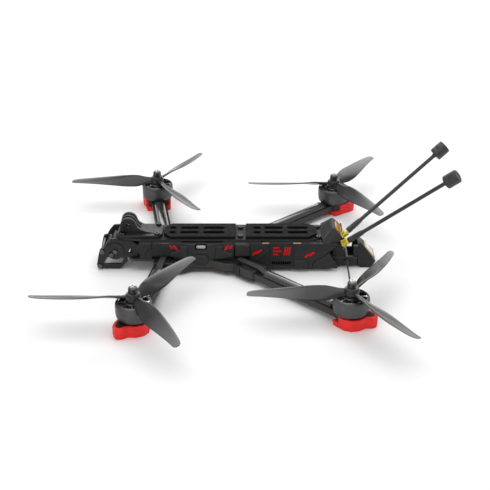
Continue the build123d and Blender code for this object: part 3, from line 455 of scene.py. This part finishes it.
def prism(builder, outline, low, high, place=None):
    """An upright prism on an outline; all in millimetres."""
    place = place or Matrix.Identity(4)
    layers = []
    for height in (low, high):
        layers.append([builder.verts.new(place @ (Vector((x, y, height)) * MM))
                       for x, y in outline])
    bottom, top = layers
    builder.faces.new(list(reversed(bottom)))
    builder.faces.new(top)
    for i in range(len(outline)):
        j = (i + 1) % len(outline)
        builder.faces.new([bottom[i], bottom[j], top[j], top[i]])


def skin(builder, sections, capped=True, uvs=None):
    """Join equal rings of points, given in metres, into a tube.

    uvs holds one number for each ring and one for each point round a ring and its end.
    """
    rings = [[builder.verts.new(point) for point in section] for section in sections]
    count = len(rings[0])
    layer = builder.loops.layers.uv.verify() if uvs else None
    for k, (first, second) in enumerate(zip(rings, rings[1:])):
        for i in range(count):
            j = (i + 1) % count
            face = builder.faces.new([first[i], first[j], second[j], second[i]])
            if layer:
                across = [uvs[1][i], uvs[1][i + 1], uvs[1][i + 1], uvs[1][i]]
                along = [uvs[0][k], uvs[0][k], uvs[0][k + 1], uvs[0][k + 1]]
                for loop, u, v in zip(face.loops, along, across):
                    loop[layer].uv = (u, v)
    if capped:
        builder.faces.new(list(reversed(rings[0])))
        builder.faces.new(rings[-1])


def polygon_ring(radius, sides, start=0.0):
    return [(radius * math.cos(start + 2 * math.pi * i / sides),
             radius * math.sin(start + 2 * math.pi * i / sides)) for i in range(sides)]


def arm_place(corner_name):
    """From arm coordinates (outward along +X from the motor axis) to the model's."""
    centre = CORNERS[corner_name]
    end = corner_name.split("_")[0]
    sign = 1 if centre.y > 0 else -1
    turn = Matrix.Rotation(math.radians(sign * ARM_ANGLES[end]), 4, "Z")
    return Matrix.Translation(Vector((centre.x, centre.y, 0))) @ turn


def rotor_place(corner_name):
    centre = CORNERS[corner_name]
    return Matrix.Translation(Vector((centre.x, centre.y, 0)))


def spread_round(place, count):
    """Places turned evenly about the rotor's axis."""
    return [place @ Matrix.Rotation(2 * math.pi * i / count, 4, "Z") for i in range(count)]


def slanted_place(point_mm, tilt):
    """Local +Z along the outward normal of a tail face, local X along the model's Y."""
    normal = Vector((-math.cos(tilt), 0, math.sin(tilt)))
    across = Vector((0, 1, 0))
    up = normal.cross(across)
    turn = Matrix((across, up, normal)).transposed().to_4x4()
    return Matrix.Translation(Vector(point_mm) * MM) @ turn


def pill(half_length, radius):
    """A rounded slot's outline, long along x."""
    steps = 10
    outline = []
    for centre, start in ((half_length - radius, -90), (radius - half_length, 90)):
        for step in range(steps + 1):
            turn = math.radians(start + 180 * step / steps)
            outline.append((centre + radius * math.cos(turn), radius * math.sin(turn)))
    return outline


def pill_skin(builder, place, sections, capped=True):
    """A slot-shaped tube through (half length, radius, height) sections."""
    rings = []
    for half_length, radius, height in sections:
        outline = pill(half_length, radius)
        rings.append([place @ (Vector((x, y, height)) * MM) for x, y in outline])
    skin(builder, rings, capped=capped)


def side_plate(builder, outline, surface_y):
    """A layer of paint on both sides of the body from (x, z) points."""
    for sign in (1, -1):
        turn = Matrix(((1, 0, 0, 0), (0, 0, sign, 0), (0, 1, 0, 0), (0, 0, 0, 1)))
        prism(builder, outline, surface_y, surface_y + PAINT_THICKNESS, turn)


def first_only(index, node):
    """The CAD node that a row of like pieces replaces goes with the first of them."""
    return [node] if index == 0 else []


# ---- carried-over CAD nodes ----
for node_name in ("belly_plate", "middle_plate", "top_plate", *[f"arm_{c}" for c in CORNERS]):
    finish_node(node_name, CARBON, 0.25)
for node_name in ("battery_pad_front", "battery_pad_rear"):
    finish_node(node_name, PAD, 0.2)
for node_name in ("front_covers", "centre_cover_left", "centre_cover_right", "rear_cover_left",
                  "rear_cover_right", "tail_covers", "side_pillars"):
    finish_node(node_name, COVER, 0.3)
finish_node("connector_holder", COVER, 0.12)
for node_name in ("arm_root_keys", "arm_cover_clips", "action_camera_mount", "rear_bracket",
                  "gps_holder", "nose_plate_left", "nose_plate_right"):
    finish_node(node_name, BLACK, 0.35)
finish_node("camera_housing", BLACK, 0.9)
finish_node("feet", FOOT, 0.2)
finish_node("motor_bases", DARK_STEEL, 0.2)
finish_node("stator_cores", LAMINATION, 0.15)
finish_node("screws", SCREW, 0.15)
finish_node("camera_pivot_screws", DARK_STEEL, 0.25)
finish_node("posts", ROD_METAL, 0.1)
finish_node("nose_cross_rods", DARK_STEEL, 0.3)
for node_name in ("speed_controller", "flight_controller"):
    finish_node(node_name, BOARD, 0.1)
finish_node("light_boards", LAMINATE, 0.1)
finish_node("video_transmitter", ANODISED, 0.2)
finish_node("power_capacitor", SLEEVE, 0.6)
finish_node("battery_connector", AMBER, 0.3)
finish_node("gps_module", CERAMIC, 0.3)

# ---- propellers ----
PROP_RADIUS = 95.25
PROP_PITCH = 94.0               # millimetres forward in one turn
STEEPEST = 33.0                 # degrees; the blade's angle goes no further near the hub
BLADE_HEIGHT = 29.6
BLADE_ROOT = 5.5
BLADES = 3
BLADE_STEPS = 44
TIP_ROUNDING = 2.5
HUB_BOTTOM = 26.4
HUB_TOP = 34.0
HUB_OUTLINE = [
    (2.6, HUB_BOTTOM), (6.6, HUB_BOTTOM), (7.0, HUB_BOTTOM + 0.4), (7.0, HUB_TOP - 1.0),
    (6.7, HUB_TOP - 0.4), (6.2, HUB_TOP), (2.6, HUB_TOP),
]
STATIONS = [                    # radius, chord, thickness, sweep back, in millimetres
    (BLADE_ROOT, 8.4, 3.4, 0.0), (12.0, 10.2, 3.0, 0.2), (22.0, 15.4, 2.5, 0.6),
    (35.0, 18.0, 2.1, 0.8), (50.0, 16.6, 1.8, 0.8), (65.0, 14.0, 1.5, 0.8),
    (80.0, 10.9, 1.2, 1.2), (90.0, 8.6, 1.0, 2.0), (PROP_RADIUS, 6.4, 0.8, 3.2),
]


def station_at(radius):
    """Smooth values between the blade's stations (Catmull-Rom)."""
    for i in range(len(STATIONS) - 1):
        if radius <= STATIONS[i + 1][0] or i == len(STATIONS) - 2:
            break
    before = STATIONS[max(i - 1, 0)]
    first = STATIONS[i]
    second = STATIONS[i + 1]
    after = STATIONS[min(i + 2, len(STATIONS) - 1)]
    t = (radius - first[0]) / (second[0] - first[0])
    values = []
    for k in (1, 2, 3):
        slope_a = (second[k] - before[k]) / (second[0] - before[0]) * (second[0] - first[0])
        slope_b = (after[k] - first[k]) / (after[0] - first[0]) * (second[0] - first[0])
        values.append(
            (2 * t**3 - 3 * t**2 + 1) * first[k] + (t**3 - 2 * t**2 + t) * slope_a
            + (-2 * t**3 + 3 * t**2) * second[k] + (t**3 - t**2) * slope_b)
    return values


def blade_ring(radius, side):
    """One airfoil ring; side is +1 for anticlockwise propellers, -1 for clockwise."""
    chord, thickness, sweep = station_at(radius)
    tip_start = PROP_RADIUS - TIP_ROUNDING
    if radius > tip_start:
        ease = (radius - tip_start) / (PROP_RADIUS - tip_start)
        chord *= 1 - 0.35 * ease**3
    pitch = math.radians(min(
        math.degrees(math.atan(PROP_PITCH / (2 * math.pi * radius))), STEEPEST))
    points = []
    half_steps = 12
    for i in range(2 * half_steps):
        upper = i < half_steps
        t = i / half_steps if upper else (2 * half_steps - i) / half_steps
        along = -math.cos(math.pi * t)
        bulge = math.sqrt(max(0.0, 1 - along * along)) * (1 + 0.25 * along)
        rise = thickness * (0.66 * bulge if upper else -0.24 * bulge)
        across = along * chord / 2
        y = across * math.cos(pitch) - rise * math.sin(pitch) - sweep
        z = across * math.sin(pitch) + rise * math.cos(pitch) + BLADE_HEIGHT
        points.append(Vector((radius, side * y, z)) * MM)
    return points


radii = [BLADE_ROOT + (PROP_RADIUS - BLADE_ROOT) * (k / BLADE_STEPS) ** 0.9
         for k in range(BLADE_STEPS + 1)]
blade_lengths = [radius * MM for radius in radii]
for corner_name, centre in CORNERS.items():
    direction = 1 if (centre.x > 0) == (centre.y > 0) else -1
    builder = bmesh.new()
    place = rotor_place(corner_name)
    for turn in spread_round(place, BLADES):
        rings = [[turn @ point for point in blade_ring(radius, direction)] for radius in radii]
        skin(builder, rings, uvs=(blade_lengths, [0.0] * (len(rings[0]) + 1)))
    lathe(builder, HUB_OUTLINE, 72, place, closed=True)
    new_object(f"propeller_{corner_name}_blades", builder, PROPELLER, f"rotor_{corner_name}",
               f"propeller_{corner_name}")

# ---- motor bells, shafts and nuts ----
BELL_BOTTOM = 10.1
BELL_TOP = 26.0
SPOKES = 8
MAGNETS = 14
RIM_PROFILE = [
    (15.6, BELL_BOTTOM + 1.2), (14.4, BELL_BOTTOM + 0.1), (14.7, BELL_BOTTOM),
    (15.1, BELL_BOTTOM + 0.15), (15.5, BELL_BOTTOM + 0.5), (15.9, BELL_BOTTOM + 1.1),
    (16.25, BELL_BOTTOM + 1.9), (16.55, BELL_BOTTOM + 3.0), (16.8, BELL_BOTTOM + 4.4),
    (16.95, BELL_BOTTOM + 6.0), (17.0, BELL_BOTTOM + 7.8), (17.0, BELL_TOP - 3.0),
    (16.95, BELL_TOP - 2.0), (16.8, BELL_TOP - 1.1), (16.5, BELL_TOP - 0.5),
    (16.1, BELL_TOP - 0.12), (15.6, BELL_TOP), (14.6, BELL_TOP), (14.2, BELL_TOP - 0.4),
    (14.2, 23.6), (15.6, 23.4),
]
CHAMFER_RING = [(14.55, BELL_TOP + 0.02), (14.15, BELL_TOP - 0.42), (14.05, BELL_TOP - 0.35),
                (14.5, BELL_TOP + 0.10)]
HUB_PROFILE = [
    (2.6, 23.3), (7.2, 23.3), (8.0, 23.8), (8.0, 25.6), (7.6, BELL_TOP), (7.2, 26.35),
    (2.6, 26.35),
]
SHAFT_PROFILE = [
    (0, 9.0), (2.3, 9.0), (2.5, 9.2), (2.5, 41.9), (2.1, 42.5), (1.2, 42.5), (1.2, 41.0), (0, 41.0),
]
NUT_FLANGE = [
    (2.5, HUB_TOP), (5.4, HUB_TOP), (5.7, HUB_TOP + 0.2), (5.6, HUB_TOP + 0.8),
    (4.9, HUB_TOP + 1.1), (2.5, HUB_TOP + 1.2),
]
NUT_DOME = [
    (2.5, 39.0), (4.1, 39.0), (4.3, 39.3), (4.0, 40.2), (3.3, 40.7), (2.5, 40.8),
]
SPOKE_OUTLINE = [
    (7.4, -1.4), (10.5, -0.7), (12.6, -0.8), (14.9, -2.0), (14.9, 2.0), (12.6, 0.8), (10.5, 0.7),
    (7.4, 1.4),
]
BRIGHT_TIP = [
    (11.8, -0.42), (12.7, -0.6), (14.3, -1.5), (14.3, 1.5), (12.7, 0.6), (11.8, 0.42),
]
BRIGHT_EDGE = [
    (8.2, 1.25), (10.5, 0.72), (12.2, 0.78), (12.2, 0.5), (10.5, 0.45), (8.2, 0.95),
]
MAGNET_OUTLINE = [
    (14.35, -2.6), (15.35, -2.6), (15.55, 0.0), (15.35, 2.6), (14.35, 2.6), (14.3, 0.0),
]
for corner_name in CORNERS:
    place = rotor_place(corner_name)
    body = f"rotor_{corner_name}"
    builder = bmesh.new()
    lathe(builder, RIM_PROFILE, 96, place, closed=True)
    lathe(builder, HUB_PROFILE, 64, place, closed=True)
    new_object(f"bell_{corner_name}_cup", builder, BELL, body, f"bell_{corner_name}")

    builder = bmesh.new()
    for turn in spread_round(place, SPOKES):
        prism(builder, SPOKE_OUTLINE, 24.2, 25.9, turn)
    spokes = new_object(f"bell_{corner_name}_spokes", builder, BELL, body)
    bevelled(spokes, 0.35)

    builder = bmesh.new()
    lathe(builder, CHAMFER_RING, 96, place, closed=True)
    for turn in spread_round(place, SPOKES):
        prism(builder, BRIGHT_TIP, 25.84, 26.0, turn)
        for side in (1, -1):
            prism(builder, [(x, side * y) for x, y in BRIGHT_EDGE], 25.84, 25.98, turn)
    new_object(f"bell_{corner_name}_bright_edges", builder, STEEL, body)

    builder = bmesh.new()
    for turn in spread_round(place, MAGNETS):
        prism(builder, MAGNET_OUTLINE, 11.5, 21.5, turn)
    new_object(f"bell_{corner_name}_magnets", builder, MAGNET, body)

    builder = bmesh.new()
    lathe(builder, SHAFT_PROFILE, 40, place)
    new_object(f"bell_{corner_name}_shaft", builder, STEEL, body)

    builder = bmesh.new()
    lathe(builder, NUT_FLANGE, 64, place, closed=True)
    lathe(builder, NUT_DOME, 48, place, closed=True)
    new_object(f"prop_nut_{corner_name}_flange", builder, NUT_STEEL, body,
               f"prop_nut_{corner_name}")
    builder = bmesh.new()
    prism(builder, polygon_ring(4.55, 6, math.radians(15)), HUB_TOP + 1.1, 39.1, place)
    hexagon = new_object(f"prop_nut_{corner_name}_hexagon", builder, NUT_STEEL, body)
    bevelled(hexagon, 0.4)

# ---- copper windings: stacked turns of wire round every stator tooth ----
TEETH = 12
TURNS = 10
TURN_SPACING = 0.5
WIRE_RADIUS = 0.2604
COIL_START = 7.3
COIL_LOW = 11.1
COIL_HIGH = 21.9


def coil_ring(place, distance, half_width):
    """One turn of wire round a tooth, as a rounded rectangular loop of tube."""
    corner_radius = 0.7
    low = COIL_LOW
    high = COIL_HIGH
    centres = [(half_width - corner_radius, high - corner_radius, 0),
               (-half_width + corner_radius, high - corner_radius, 90),
               (-half_width + corner_radius, low + corner_radius, 180),
               (half_width - corner_radius, low + corner_radius, 270)]
    line = []
    for y, z, start in centres:
        for step in range(4):
            angle = math.radians(start + 30 * step)
            line.append((y + corner_radius * math.cos(angle), z + corner_radius * math.sin(angle),
                         angle))
    sections = []
    for y, z, angle in line + line[:1]:
        ring = []
        for i in range(6):
            around = 2 * math.pi * i / 6
            out = WIRE_RADIUS * math.cos(around)
            ring.append(place @ (Vector((
                distance + WIRE_RADIUS * math.sin(around),
                y + out * math.cos(angle), z + out * math.sin(angle))) * MM))
        sections.append(ring)
    return sections


builder = bmesh.new()
for corner_name in CORNERS:
    for tooth_place in spread_round(rotor_place(corner_name), TEETH):
        for turn_number in range(TURNS):
            distance = COIL_START + turn_number * TURN_SPACING
            half_width = 1.15 + 0.055 * turn_number
            skin(builder, coil_ring(tooth_place, distance, half_width), capped=False)
new_object("copper_coils", builder, COPPER, "frame", "stator_windings")

# ---- arm covers with woven twill, and braided motor leads ----
ARM_TOP = 8.5
MID_TOP = 11.0
COVER_SPANS = {"front": (-92.0, -21.0), "rear": (-106.0, -21.0)}
COVER_HALF = 5.6
COVER_RISE = 4.1
COVER_STEPS = 12
outer = [(-COVER_HALF, 0.0), (-COVER_HALF, 1.2), (-COVER_HALF + 0.25, 1.8),
         (-COVER_HALF + 2.2, 3.8), (-COVER_HALF + 2.8, COVER_RISE),
         (COVER_HALF - 2.8, COVER_RISE), (COVER_HALF - 2.2, 3.8),
         (COVER_HALF - 0.25, 1.8), (COVER_HALF, 1.2), (COVER_HALF, 0.0)]
inner = [(x * 0.86, max(0.0, z - 0.7)) for x, z in reversed(outer)]
cover_ring = outer + inner
ring_lengths = [0.0]
for (x1, z1), (x2, z2) in zip(cover_ring, cover_ring[1:] + cover_ring[:1]):
    ring_lengths.append(ring_lengths[-1] + math.hypot(x2 - x1, z2 - z1) * MM)
for index, corner_name in enumerate(CORNERS):
    start, stop = COVER_SPANS[corner_name.split("_")[0]]
    place = arm_place(corner_name)
    stations = [start + (stop - start) * k / COVER_STEPS for k in range(COVER_STEPS + 1)]
    sections = [[place @ (Vector((s, y, ARM_TOP + z)) * MM) for y, z in cover_ring]
                for s in stations]
    builder = bmesh.new()
    skin(builder, sections, uvs=([s * MM for s in stations], ring_lengths))
    new_object(f"arm_cover_{corner_name}", builder, TWILL, "frame",
               *first_only(index, "arm_covers"), sharp=50.0)

LEAD_HALF = 3.3
LEAD_THICK = 2.6
LEAD_GAP = 0.15                 # above the plate or arm it lies on
LEAD_STEPS = 60
LEAD_SIDES = 28
INSIDE_BODY = {"front": 26.0, "rear": 39.0}     # how far a lead runs past the cover's end
WIRE_PLACES = (-2.1, 0.0, 2.1)   # the three bare wires at the motor's end


def lead_line(start, stop, body_end):
    """(distance, height) points: along the middle plate, then easing down under the cover."""
    high_line = MID_TOP + LEAD_GAP + LEAD_THICK / 2
    low_line = ARM_TOP + LEAD_GAP + LEAD_THICK / 2
    line = []
    for k in range(LEAD_STEPS + 1):
        s = body_end + (stop + 3.0 - body_end) * k / LEAD_STEPS
        t = min(1.0, max(0.0, (s - (start - 10.0)) / 7.5))
        ease = t * t * (3 - 2 * t)
        line.append((s, high_line + (low_line - high_line) * ease))
    return line


def lead_ring(place, s, z):
    """A flattened, rounded ring of braid at a distance and height on the arm."""
    ring = []
    for i in range(LEAD_SIDES):
        around = 2 * math.pi * i / LEAD_SIDES
        cosine = math.cos(around)
        sine = math.sin(around)
        y = LEAD_HALF * math.copysign(abs(cosine) ** 0.6, cosine)
        rise = LEAD_THICK / 2 * math.copysign(abs(sine) ** 0.8, sine)
        ring.append(place @ (Vector((s, y, z + rise)) * MM))
    return ring


for index, corner_name in enumerate(CORNERS):
    end = corner_name.split("_")[0]
    start, stop = COVER_SPANS[end]
    place = arm_place(corner_name)
    line = lead_line(start, stop, start - INSIDE_BODY[end])
    builder = bmesh.new()
    skin(builder, [lead_ring(place, s, z) for s, z in line],
         uvs=([s * MM for s, _ in line], [i * 0.6 * MM for i in range(LEAD_SIDES + 1)]))
    for wire_y in WIRE_PLACES:
        wire = []
        for s in (-18.2, -15.0, -12.7):
            wire.append([place @ (Vector((s, wire_y + y, ARM_TOP + 0.65 + z)) * MM)
                         for y, z in polygon_ring(0.6, 12)])
        skin(builder, wire)
    new_object(f"motor_lead_{corner_name}", builder, BRAID, "frame",
               *first_only(index, "motor_leads"))

# ---- antennas and their connectors ----
ANTENNA_PROFILE = [
    (0.0, 0.05), (2.6, 0.05), (3.1, 0.4), (3.1, 4.6), (2.9, 5.0), (2.9, 8.0),
    (2.8, 12.0), (2.6, 16.0), (2.3, 17.4), (2.05, 18.2), (1.95, 19.0), (1.95, 60.0),
    (1.95, 114.5), (2.3, 115.6), (2.5, 116.7), (5.9, 116.8), (6.5, 117.1), (6.8, 117.9),
    (6.8, 121.6), (6.72, 121.8), (6.8, 122.0), (6.8, 129.4), (6.5, 130.2), (5.9, 130.6),
    (2.2, 130.6), (1.9, 130.45), (0.0, 130.45),
]
CONNECTOR_PROFILE = [
    (0.0, -7.4), (2.8, -7.4), (2.8, -6.2), (3.0, -6.0), (3.2, -5.8), (3.2, -4.2), (3.0, -4.0),
    (3.0, -3.7), (3.2, -3.5), (3.2, -0.9), (3.0, -0.5), (2.2, -0.4), (0.0, -0.4),
]
SWIVELS = [joint for joint in frame["joints"] if joint["name"].endswith("_swivel")]
for index, joint in enumerate(SWIVELS):
    side = joint["name"].split("_")[1]
    turn = Vector(joint["axis"]).to_track_quat("Z", "Y").to_matrix().to_4x4()
    place = Matrix.Translation(Vector(joint["pos_m"])) @ turn
    builder = bmesh.new()
    lathe(builder, ANTENNA_PROFILE, 48, place)
    new_object(f"antenna_{side}_whip", builder, ANTENNA, f"antenna_{side}", f"antenna_{side}")
    builder = bmesh.new()
    lathe(builder, CONNECTOR_PROFILE, 40, place)
    new_object(f"antenna_connector_{side}", builder, GOLD, "frame",
               *first_only(index, "antenna_connectors"))
    builder = bmesh.new()
    prism(builder, polygon_ring(4.1, 6), -8.4, -6.6, place)
    prism(builder, polygon_ring(3.6, 6), -3.6, -1.0, place)
    nuts = new_object(f"antenna_connector_{side}_nuts", builder, GOLD, "frame")
    bevelled(nuts, 0.3)

WHIP_PROFILE = [
    (0.0, 13.6), (2.1, 13.6), (2.3, 14.0), (2.3, 16.4), (2.0, 17.0), (1.2, 17.2), (0.9, 17.8),
    (0.8, 30.0), (0.8, 58.0), (1.0, 58.3), (1.0, 74.4), (0.8, 75.0), (0.0, 75.0),
]
whip_low, whip_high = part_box("receiver_antennas")
whip_x = (whip_low[0] + whip_high[0]) / 2
whip_z = (whip_low[2] + whip_high[2]) / 2
builder = bmesh.new()
for sign in (1, -1):
    turn = Matrix.Rotation(-sign * math.pi / 2, 4, "X")
    lathe(builder, WHIP_PROFILE, 24, Matrix.Translation(Vector((whip_x, 0, whip_z))) @ turn)
new_object("receiver_whips", builder, ANTENNA, "frame", "receiver_antennas")

# ---- flight camera lens ----
TILT_JOINT = next(j for j in frame["joints"] if j["name"] == "camera_tilt")
SET_ANGLE = 25.0                # the lens looks up by this many degrees at rest
lens_place = (
    Matrix.Translation(Vector(TILT_JOINT["pos_m"]))
    @ Matrix.Rotation(-math.radians(SET_ANGLE), 4, "Y") @ Matrix.Rotation(math.pi / 2, 4, "Y"))
BARREL_PROFILE = [
    (5.0, 1.2), (5.2, 1.2), (5.2, 6.5), (6.0, 6.5), (6.2, 6.8), (6.2, 9.6), (5.9, 10.1),
    (5.3, 10.1), (5.0, 9.7), (4.9, 8.7), (4.3, 8.4), (4.3, 7.6), (3.6, 7.4), (3.6, 1.2),
]
builder = bmesh.new()
lathe(builder, BARREL_PROFILE, 72, lens_place, closed=True)
new_object("lens_barrel", builder, LENS_RING, "camera", "camera_lens")
builder = bmesh.new()
DOME_BASE = 7.3
DOME_RISE = 2.2
DOME_RADIUS = 4.7
dome = [(0.0, DOME_BASE + DOME_RISE)]
for k in range(1, 10):
    slope = math.radians(10 * k)
    dome.append((DOME_RADIUS * math.sin(slope), DOME_BASE + DOME_RISE * math.cos(slope)))
dome.append((0.0, DOME_BASE))
lathe(builder, dome, 64, lens_place)
new_object("lens_dome", builder, GLASS, "camera")

# ---- set-up port: a rounded shell with its tongue and floor, and a near-black ring round it as painted shade ----
port_low, port_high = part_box("usb_port")
port_place = Matrix.Translation(Vector((
    (port_low[0] + port_high[0]) / 2, port_high[1], (port_low[2] + port_high[2]) / 2)))
port_place = port_place @ Matrix.Rotation(-math.pi / 2, 4, "X")
PORT_SECTIONS = [
    (4.6, 1.7, -6.8), (4.6, 1.7, -0.15), (4.5, 1.6, 0.0), (4.25, 1.35, 0.0), (4.15, 1.25, -0.15),
    (4.15, 1.25, -1.6),
]
# A thin near-black ring round the port's mouth: painted shade for the recess's shadow.
PORT_SHADE_SECTIONS = [
    (5.0, 2.1, -0.4), (5.0, 2.1, 0.0), (5.2, 2.2, 0.12), (6.2, 3.0, 0.12), (6.4, 3.2, 0.0),
    (6.4, 3.2, -0.4), (5.0, 2.1, -0.4),
]
builder = bmesh.new()
pill_skin(builder, port_place, PORT_SECTIONS)
prism(builder, pill(3.3, 0.42), -1.6, -0.35, port_place)
new_object("usb_port_shell", builder, PORT, "frame", "usb_port")
builder = bmesh.new()
pill_skin(builder, port_place, PORT_SHADE_SECTIONS, capped=False)
new_object("usb_port_painted_shade", builder, PORT_SHADE, "frame")

# ---- satellite receiver's silvered square and the battery connector's contacts ----
GPS_SLOPE_FOOT = (-132.4, 4.2)
GPS_SLOPE_TOP = (-120.6, 18.6)
GPS_TILT = math.atan2(GPS_SLOPE_TOP[0] - GPS_SLOPE_FOOT[0], GPS_SLOPE_TOP[1] - GPS_SLOPE_FOOT[1])
gps_centre = (
    (GPS_SLOPE_FOOT[0] + GPS_SLOPE_TOP[0]) / 2, 0, (GPS_SLOPE_FOOT[1] + GPS_SLOPE_TOP[1]) / 2)
gps_place = slanted_place(gps_centre, GPS_TILT)
builder = bmesh.new()
prism(builder, [(-5.6, -5.2), (5.6, -5.2), (5.6, 5.2), (-5.6, 5.2)], 0.82, 1.0, gps_place)
FEED_PIN = [(0, 0.9), (0.9, 0.9), (0.8, 1.4), (0, 1.5)]
lathe(builder, FEED_PIN, 24, gps_place)
plating = new_object("gps_plating", builder, SILVER, "frame")
bevelled(plating, 0.08)

CONNECTOR_TILT = math.radians(36.2)
plug_place = slanted_place((-93.9, 0, 35.5), CONNECTOR_TILT)
CONTACT_SPOT = 4.9
CONTACT_PROFILE = [(0, -3.4), (1.55, -3.4), (1.55, 0.4), (1.2, 0.9), (0.6, 1.1), (0, 1.1)]
RIM_SECTIONS = [
    (8.5, 3.6, 1.55), (9.3, 4.3, 1.55), (9.35, 4.35, 1.75), (9.2, 4.2, 1.9), (8.6, 3.65, 1.9),
    (8.5, 3.55, 1.75), (8.5, 3.6, 1.55),
]
builder = bmesh.new()
for pin_y in (-CONTACT_SPOT, CONTACT_SPOT):
    pin_place = plug_place @ Matrix.Translation(Vector((pin_y * MM, 0, 0)))
    lathe(builder, CONTACT_PROFILE, 32, pin_place)
new_object("battery_contacts", builder, GOLD, "frame")
builder = bmesh.new()
pill_skin(builder, plug_place, RIM_SECTIONS, capped=False)
new_object("battery_connector_rim", builder, RIM, "frame")


# ---- red marks and the plain bars on each side's panel ----
COVER_FACE = 22.8
LABEL_FACE = 22.2               # the label panel is recessed
ZIGZAG = [(0.6, -0.6), (-2.6, 2.0), (-4.8, 1.9), (-7.2, 4.2), (-8.8, 4.4), (-8.8, 6.6),
          (-6.4, 6.3), (-4.0, 4.2), (-1.8, 4.3), (0.6, 2.0)]
STROKE_WIDTH = 2.1
STROKE_LEAN = 0.62
builder = bmesh.new()
for base_x, base_z in ((-9.0, 15.2), (-61.4, 12.6)):
    side_plate(builder, [(base_x + x, base_z + z) for x, z in ZIGZAG], COVER_FACE)
for base_x, lean in ((74.6, -1), (10.9, 1)):
    for offset, top, length in ((0.0, 26.2, 3.2), (3.8, 26.4, 7.0)):
        high = base_x + lean * offset
        low = high + lean * STROKE_LEAN * length
        stroke = [(high, top), (high + lean * STROKE_WIDTH, top),
                  (low + lean * STROKE_WIDTH, top - length), (low, top - length)]
        side_plate(builder, stroke, COVER_FACE)
new_object("red_marks", builder, PAINT, "frame")
PANEL_LOW = 15.3
PANEL_HIGH = 24.2
ROW_START = -29.0
ROW_SPACING = 3.6
ROW_WIDTH = 1.7
COLUMN_START = -39.4
COLUMN_SPACING = 2.4
COLUMN_WIDTH = 1.3
builder = bmesh.new()
for row, length in enumerate((6.4, 8.0, 5.2)):
    z = PANEL_HIGH - ROW_SPACING * row
    row_end = ROW_START - length
    bar = [(ROW_START, z), (row_end, z), (row_end, z - ROW_WIDTH), (ROW_START, z - ROW_WIDTH)]
    side_plate(builder, bar, LABEL_FACE)
for column in range(3):
    x = COLUMN_START - COLUMN_SPACING * column
    bar = [(x, PANEL_LOW), (x - COLUMN_WIDTH, PANEL_LOW), (x - 2 * COLUMN_WIDTH, PANEL_HIGH),
           (x - COLUMN_WIDTH, PANEL_HIGH)]
    side_plate(builder, bar, LABEL_FACE)
new_object("panel_mark", builder, PAINT, "frame")

# ---- floor and lights ----
def stage_material():
    t = Tree("studio_floor")
    cloud = t.noise(t.position(), 3.0)
    t.colour(t.blend(cloud, (0.86, 0.86, 0.86), (0.90, 0.90, 0.90)))
    t.roughness(t.spread(cloud, 0.7, 0.8))
    t.fixed(specular=0.2)
    return t.material


floor_mesh = bpy.data.meshes.new("floor")
FLOOR_HALF = 6.0
corner_signs = ((-1, -1), (1, -1), (1, 1), (-1, 1))
floor_corners = [(sx * FLOOR_HALF, sy * FLOOR_HALF, FLOOR_Z) for sx, sy in corner_signs]
floor_mesh.from_pydata(floor_corners, [], [(0, 1, 2, 3)])
floor_mesh.materials.append(stage_material())
floor = bpy.data.objects.new("floor", floor_mesh)
bpy.context.scene.collection.objects.link(floor)


def softbox(name, place, target, size, power):
    data = bpy.data.lights.new(name, "AREA")
    data.shape = "RECTANGLE"
    data.size, data.size_y = size
    data.energy = power
    light = bpy.data.objects.new(name, data)
    light.location = place
    light.rotation_euler = (Vector(target) - Vector(place)).to_track_quat("-Z", "Y").to_euler()
    bpy.context.scene.collection.objects.link(light)


softbox("top_softbox", (0.0, -0.1, 1.7), (0, 0, 0), (2.4, 2.0), 24)
softbox("front_softbox", (0.6, 1.7, 1.0), (0, 0, 0), (1.2, 0.9), 7)
softbox("back_softbox", (-0.2, -1.7, 0.85), (0, 0, 0.05), (2.6, 0.8), 14)
bpy.context.scene.view_settings.view_transform = "Standard"
world = bpy.data.worlds.new("studio")
world.use_nodes = True
world.node_tree.nodes["Background"].inputs["Color"].default_value = (1, 1, 1, 1)
world.node_tree.nodes["Background"].inputs["Strength"].default_value = 0.5
bpy.context.scene.world = world
